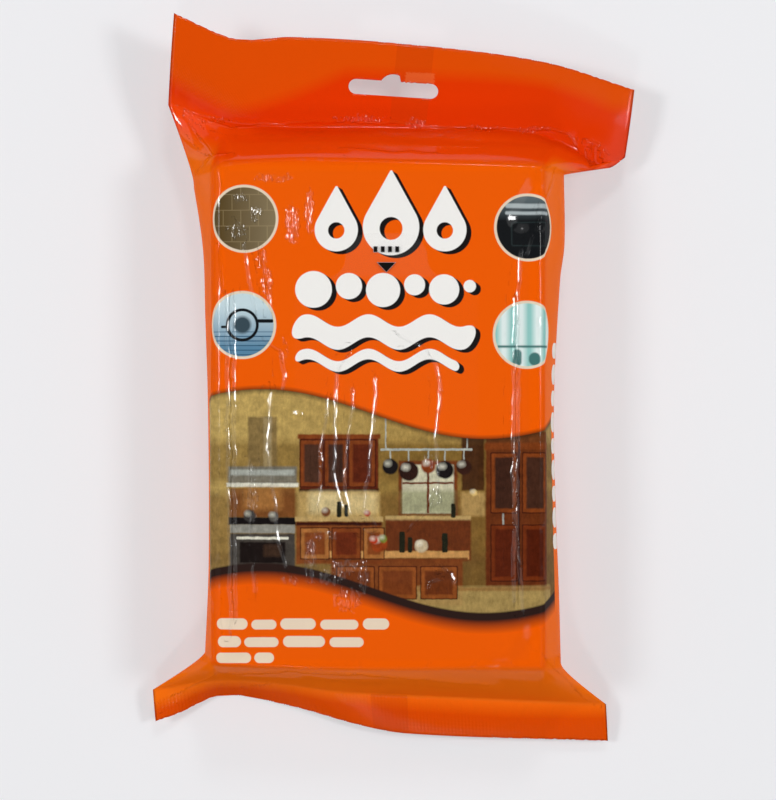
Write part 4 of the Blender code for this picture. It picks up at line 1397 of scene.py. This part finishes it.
# Floor, and the camera's place above it, in metres. Its lens and its sensor are in millimetres
FLOOR_REACH = 1.5
FLOOR_DROP = 0.0002
FLOOR_ROUGHNESS = 0.9
FLOOR_SHEEN = 0.1
CAMERA_PLACE = (0.0012, 0.0047, 0.750)
CAMERA_LENS = 105.4
CAMERA_SENSOR = 36


def add_lamp(name, place, size, watts):
    """A square softbox that faces the pack."""
    data = bpy.data.lights.new(name, "AREA")
    data.shape = "SQUARE"
    data.size = size
    data.energy = watts
    lamp = bpy.data.objects.new(name, data)
    lamp.location = place
    lamp.rotation_euler = (-Vector(place)).to_track_quat("-Z", "Y").to_euler()
    bpy.context.scene.collection.objects.link(lamp)


def make_floor(settings):
    """A plain pale floor, in which the camera sees part of the backdrop's colour through the shadows."""
    mesh = bmesh.new()
    bmesh.ops.create_grid(mesh, x_segments=1, y_segments=1, size=FLOOR_REACH)
    floor = add_piece("floor", mesh)
    material = bpy.data.materials.new("pale_floor")
    material.use_nodes = True
    shader = material.node_tree.nodes["Principled BSDF"]
    shader.inputs["Base Color"].default_value = (*settings.floor_colour, 1)
    shader.inputs["Roughness"].default_value = FLOOR_ROUGHNESS
    shader.inputs["Specular IOR Level"].default_value = FLOOR_SHEEN
    nodes = Nodes(material.node_tree)
    seen = nodes.node("ShaderNodeLightPath").outputs
    mixed = nodes.node("ShaderNodeMixShader")
    glow = nodes.node("ShaderNodeEmission")
    nodes.put(glow.inputs["Color"], (*settings.backdrop_colour, 1))
    direct = nodes.larger(seen["Is Camera Ray"], seen["Is Glossy Ray"])
    direct = nodes.larger(direct, seen["Is Transmission Ray"])
    nodes.put(mixed.inputs[0], nodes.times(direct, settings.backdrop_share))
    nodes.put(mixed.inputs[1], shader.outputs[0])
    nodes.put(mixed.inputs[2], glow.outputs[0])
    nodes.put(material.node_tree.nodes["Material Output"].inputs["Surface"], mixed.outputs[0])
    floor.data.materials.append(material)
    floor.location.z = -FLOOR_DROP


def set_world(strength):
    world = bpy.data.worlds.new("studio")
    world.use_nodes = True
    background = world.node_tree.nodes["Background"]
    background.inputs["Color"].default_value = (1, 1, 1, 1)
    background.inputs["Strength"].default_value = strength
    bpy.context.scene.world = world


def set_camera():
    """Looks straight down, as the photograph does."""
    data = bpy.data.cameras.new("camera")
    data.lens = CAMERA_LENS
    data.sensor_width = CAMERA_SENSOR
    camera = bpy.data.objects.new("camera", data)
    camera.location = CAMERA_PLACE
    bpy.context.scene.collection.objects.link(camera)
    bpy.context.scene.camera = camera


class FilmSettings(bpy.types.PropertyGroup):
    """Colour of the wrapper."""

    orange: FloatVectorProperty(
        name="Film colour", description="Colour of the film where nothing is printed",
        default=rgb(249, 96, 4), subtype="COLOR", size=3, min=0, max=1,
    )
    deep_orange: FloatVectorProperty(
        name="Loose film colour", description="Colour of the film where it slopes away from the stack",
        default=rgb(232, 57, 0), subtype="COLOR", size=3, min=0, max=1,
    )
    # Painted light: this paler colour on the raised header and on the foot's seal stands for light falling on
    # them
    seal_painted_light: FloatVectorProperty(
        name="Seal colour", description="Colour of the sealed film toward its cut edges",
        default=rgb(232, 80, 3), subtype="COLOR", size=3, min=0, max=1,
    )


class LabelSettings(bpy.types.PropertyGroup):
    """Finish of the clear label."""

    haze: FloatProperty(
        name="Haze", description="How much the pull tab hides what is under it", default=0.01,
        subtype="FACTOR", min=0, max=1,
    )


class StageSettings(bpy.types.PropertyGroup):
    """Floor and light."""

    floor_colour: FloatVectorProperty(
        name="Floor colour", description="Colour of the floor", default=rgb(247, 247, 250), subtype="COLOR",
        size=3, min=0, max=1,
    )
    backdrop_colour: FloatVectorProperty(
        name="Backdrop colour", description="Colour that the camera sees through the shadows on the floor",
        default=rgb(238, 239, 241), subtype="COLOR", size=3, min=0, max=1,
    )
    backdrop_share: FloatProperty(
        name="Backdrop share", description="How much of the floor shows the backdrop colour", default=0.4,
        subtype="FACTOR", min=0, max=1,
    )
    fill: FloatProperty(
        name="Fill light", description="Strength of the even light from all round", default=0.04,
    )
    soft_power: FloatProperty(
        name="Soft box power", description="Power of a side box", default=3.6, unit="POWER",
    )
    lamp_power: FloatProperty(
        name="Lamp power", description="Power of a side lamp", default=3.6, unit="POWER",
    )


class WIPES_OT_wrap_film(bpy.types.Operator):
    """Wraps the printed film round the stack of wipes"""

    bl_idname = "wipes.wrap_film"
    bl_label = "Wrap the film"

    def execute(self, context):
        settings = context.scene.wipes_film
        finish_piece(make_film(), film_material(settings), "wipes_pack")
        return {"FINISHED"}


class WIPES_OT_lay_label(bpy.types.Operator):
    """Lays the clear label over the opening"""

    bl_idname = "wipes.lay_label"
    bl_label = "Lay the label"

    def execute(self, context):
        settings = context.scene.wipes_label
        finish_piece(make_label(), label_material(settings), "opening_label")
        return {"FINISHED"}


class WIPES_OT_set_stage(bpy.types.Operator):
    """Sets the floor, the soft light and the camera"""

    bl_idname = "wipes.set_stage"
    bl_label = "Set the stage"

    def execute(self, context):
        settings = context.scene.wipes_stage
        make_floor(settings)
        set_world(settings.fill)
        for name, place, width, share in SOFT_BOXES:
            add_lamp(name, place, width, settings.soft_power * share)
        for name, place, width, share in SMALL_LAMPS:
            add_lamp(name, place, width, settings.lamp_power * share)
        set_camera()
        context.scene.view_settings.view_transform = "Standard"
        return {"FINISHED"}


class WIPES_PT_pack(bpy.types.Panel):
    """Steps that make the pack"""

    bl_label = "Wipes pack"
    bl_idname = "WIPES_PT_pack"
    bl_space_type = "VIEW_3D"
    bl_region_type = "UI"
    bl_category = "Wipes pack"

    def draw(self, context):
        scene = context.scene
        layout = self.layout
        for name in ("orange", "deep_orange", "seal_painted_light"):
            layout.prop(scene.wipes_film, name)
        layout.operator(WIPES_OT_wrap_film.bl_idname)
        layout.prop(scene.wipes_label, "haze")
        layout.operator(WIPES_OT_lay_label.bl_idname)
        for name in ("floor_colour", "backdrop_colour", "backdrop_share", "fill", "soft_power", "lamp_power"):
            layout.prop(scene.wipes_stage, name)
        layout.operator(WIPES_OT_set_stage.bl_idname)


CLASSES = (
    FilmSettings, LabelSettings, StageSettings, WIPES_OT_wrap_film, WIPES_OT_lay_label, WIPES_OT_set_stage,
    WIPES_PT_pack,
)


def register():
    for item in CLASSES:
        bpy.utils.register_class(item)
    bpy.types.Scene.wipes_film = PointerProperty(type=FilmSettings)
    bpy.types.Scene.wipes_label = PointerProperty(type=LabelSettings)
    bpy.types.Scene.wipes_stage = PointerProperty(type=StageSettings)


def unregister():
    del bpy.types.Scene.wipes_film
    del bpy.types.Scene.wipes_label
    del bpy.types.Scene.wipes_stage
    for item in reversed(CLASSES):
        bpy.utils.unregister_class(item)


def main():
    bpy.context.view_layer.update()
    register()
    bpy.ops.wipes.wrap_film()
    bpy.ops.wipes.lay_label()
    bpy.ops.wipes.set_stage()


if __name__ == "__main__":
    main()
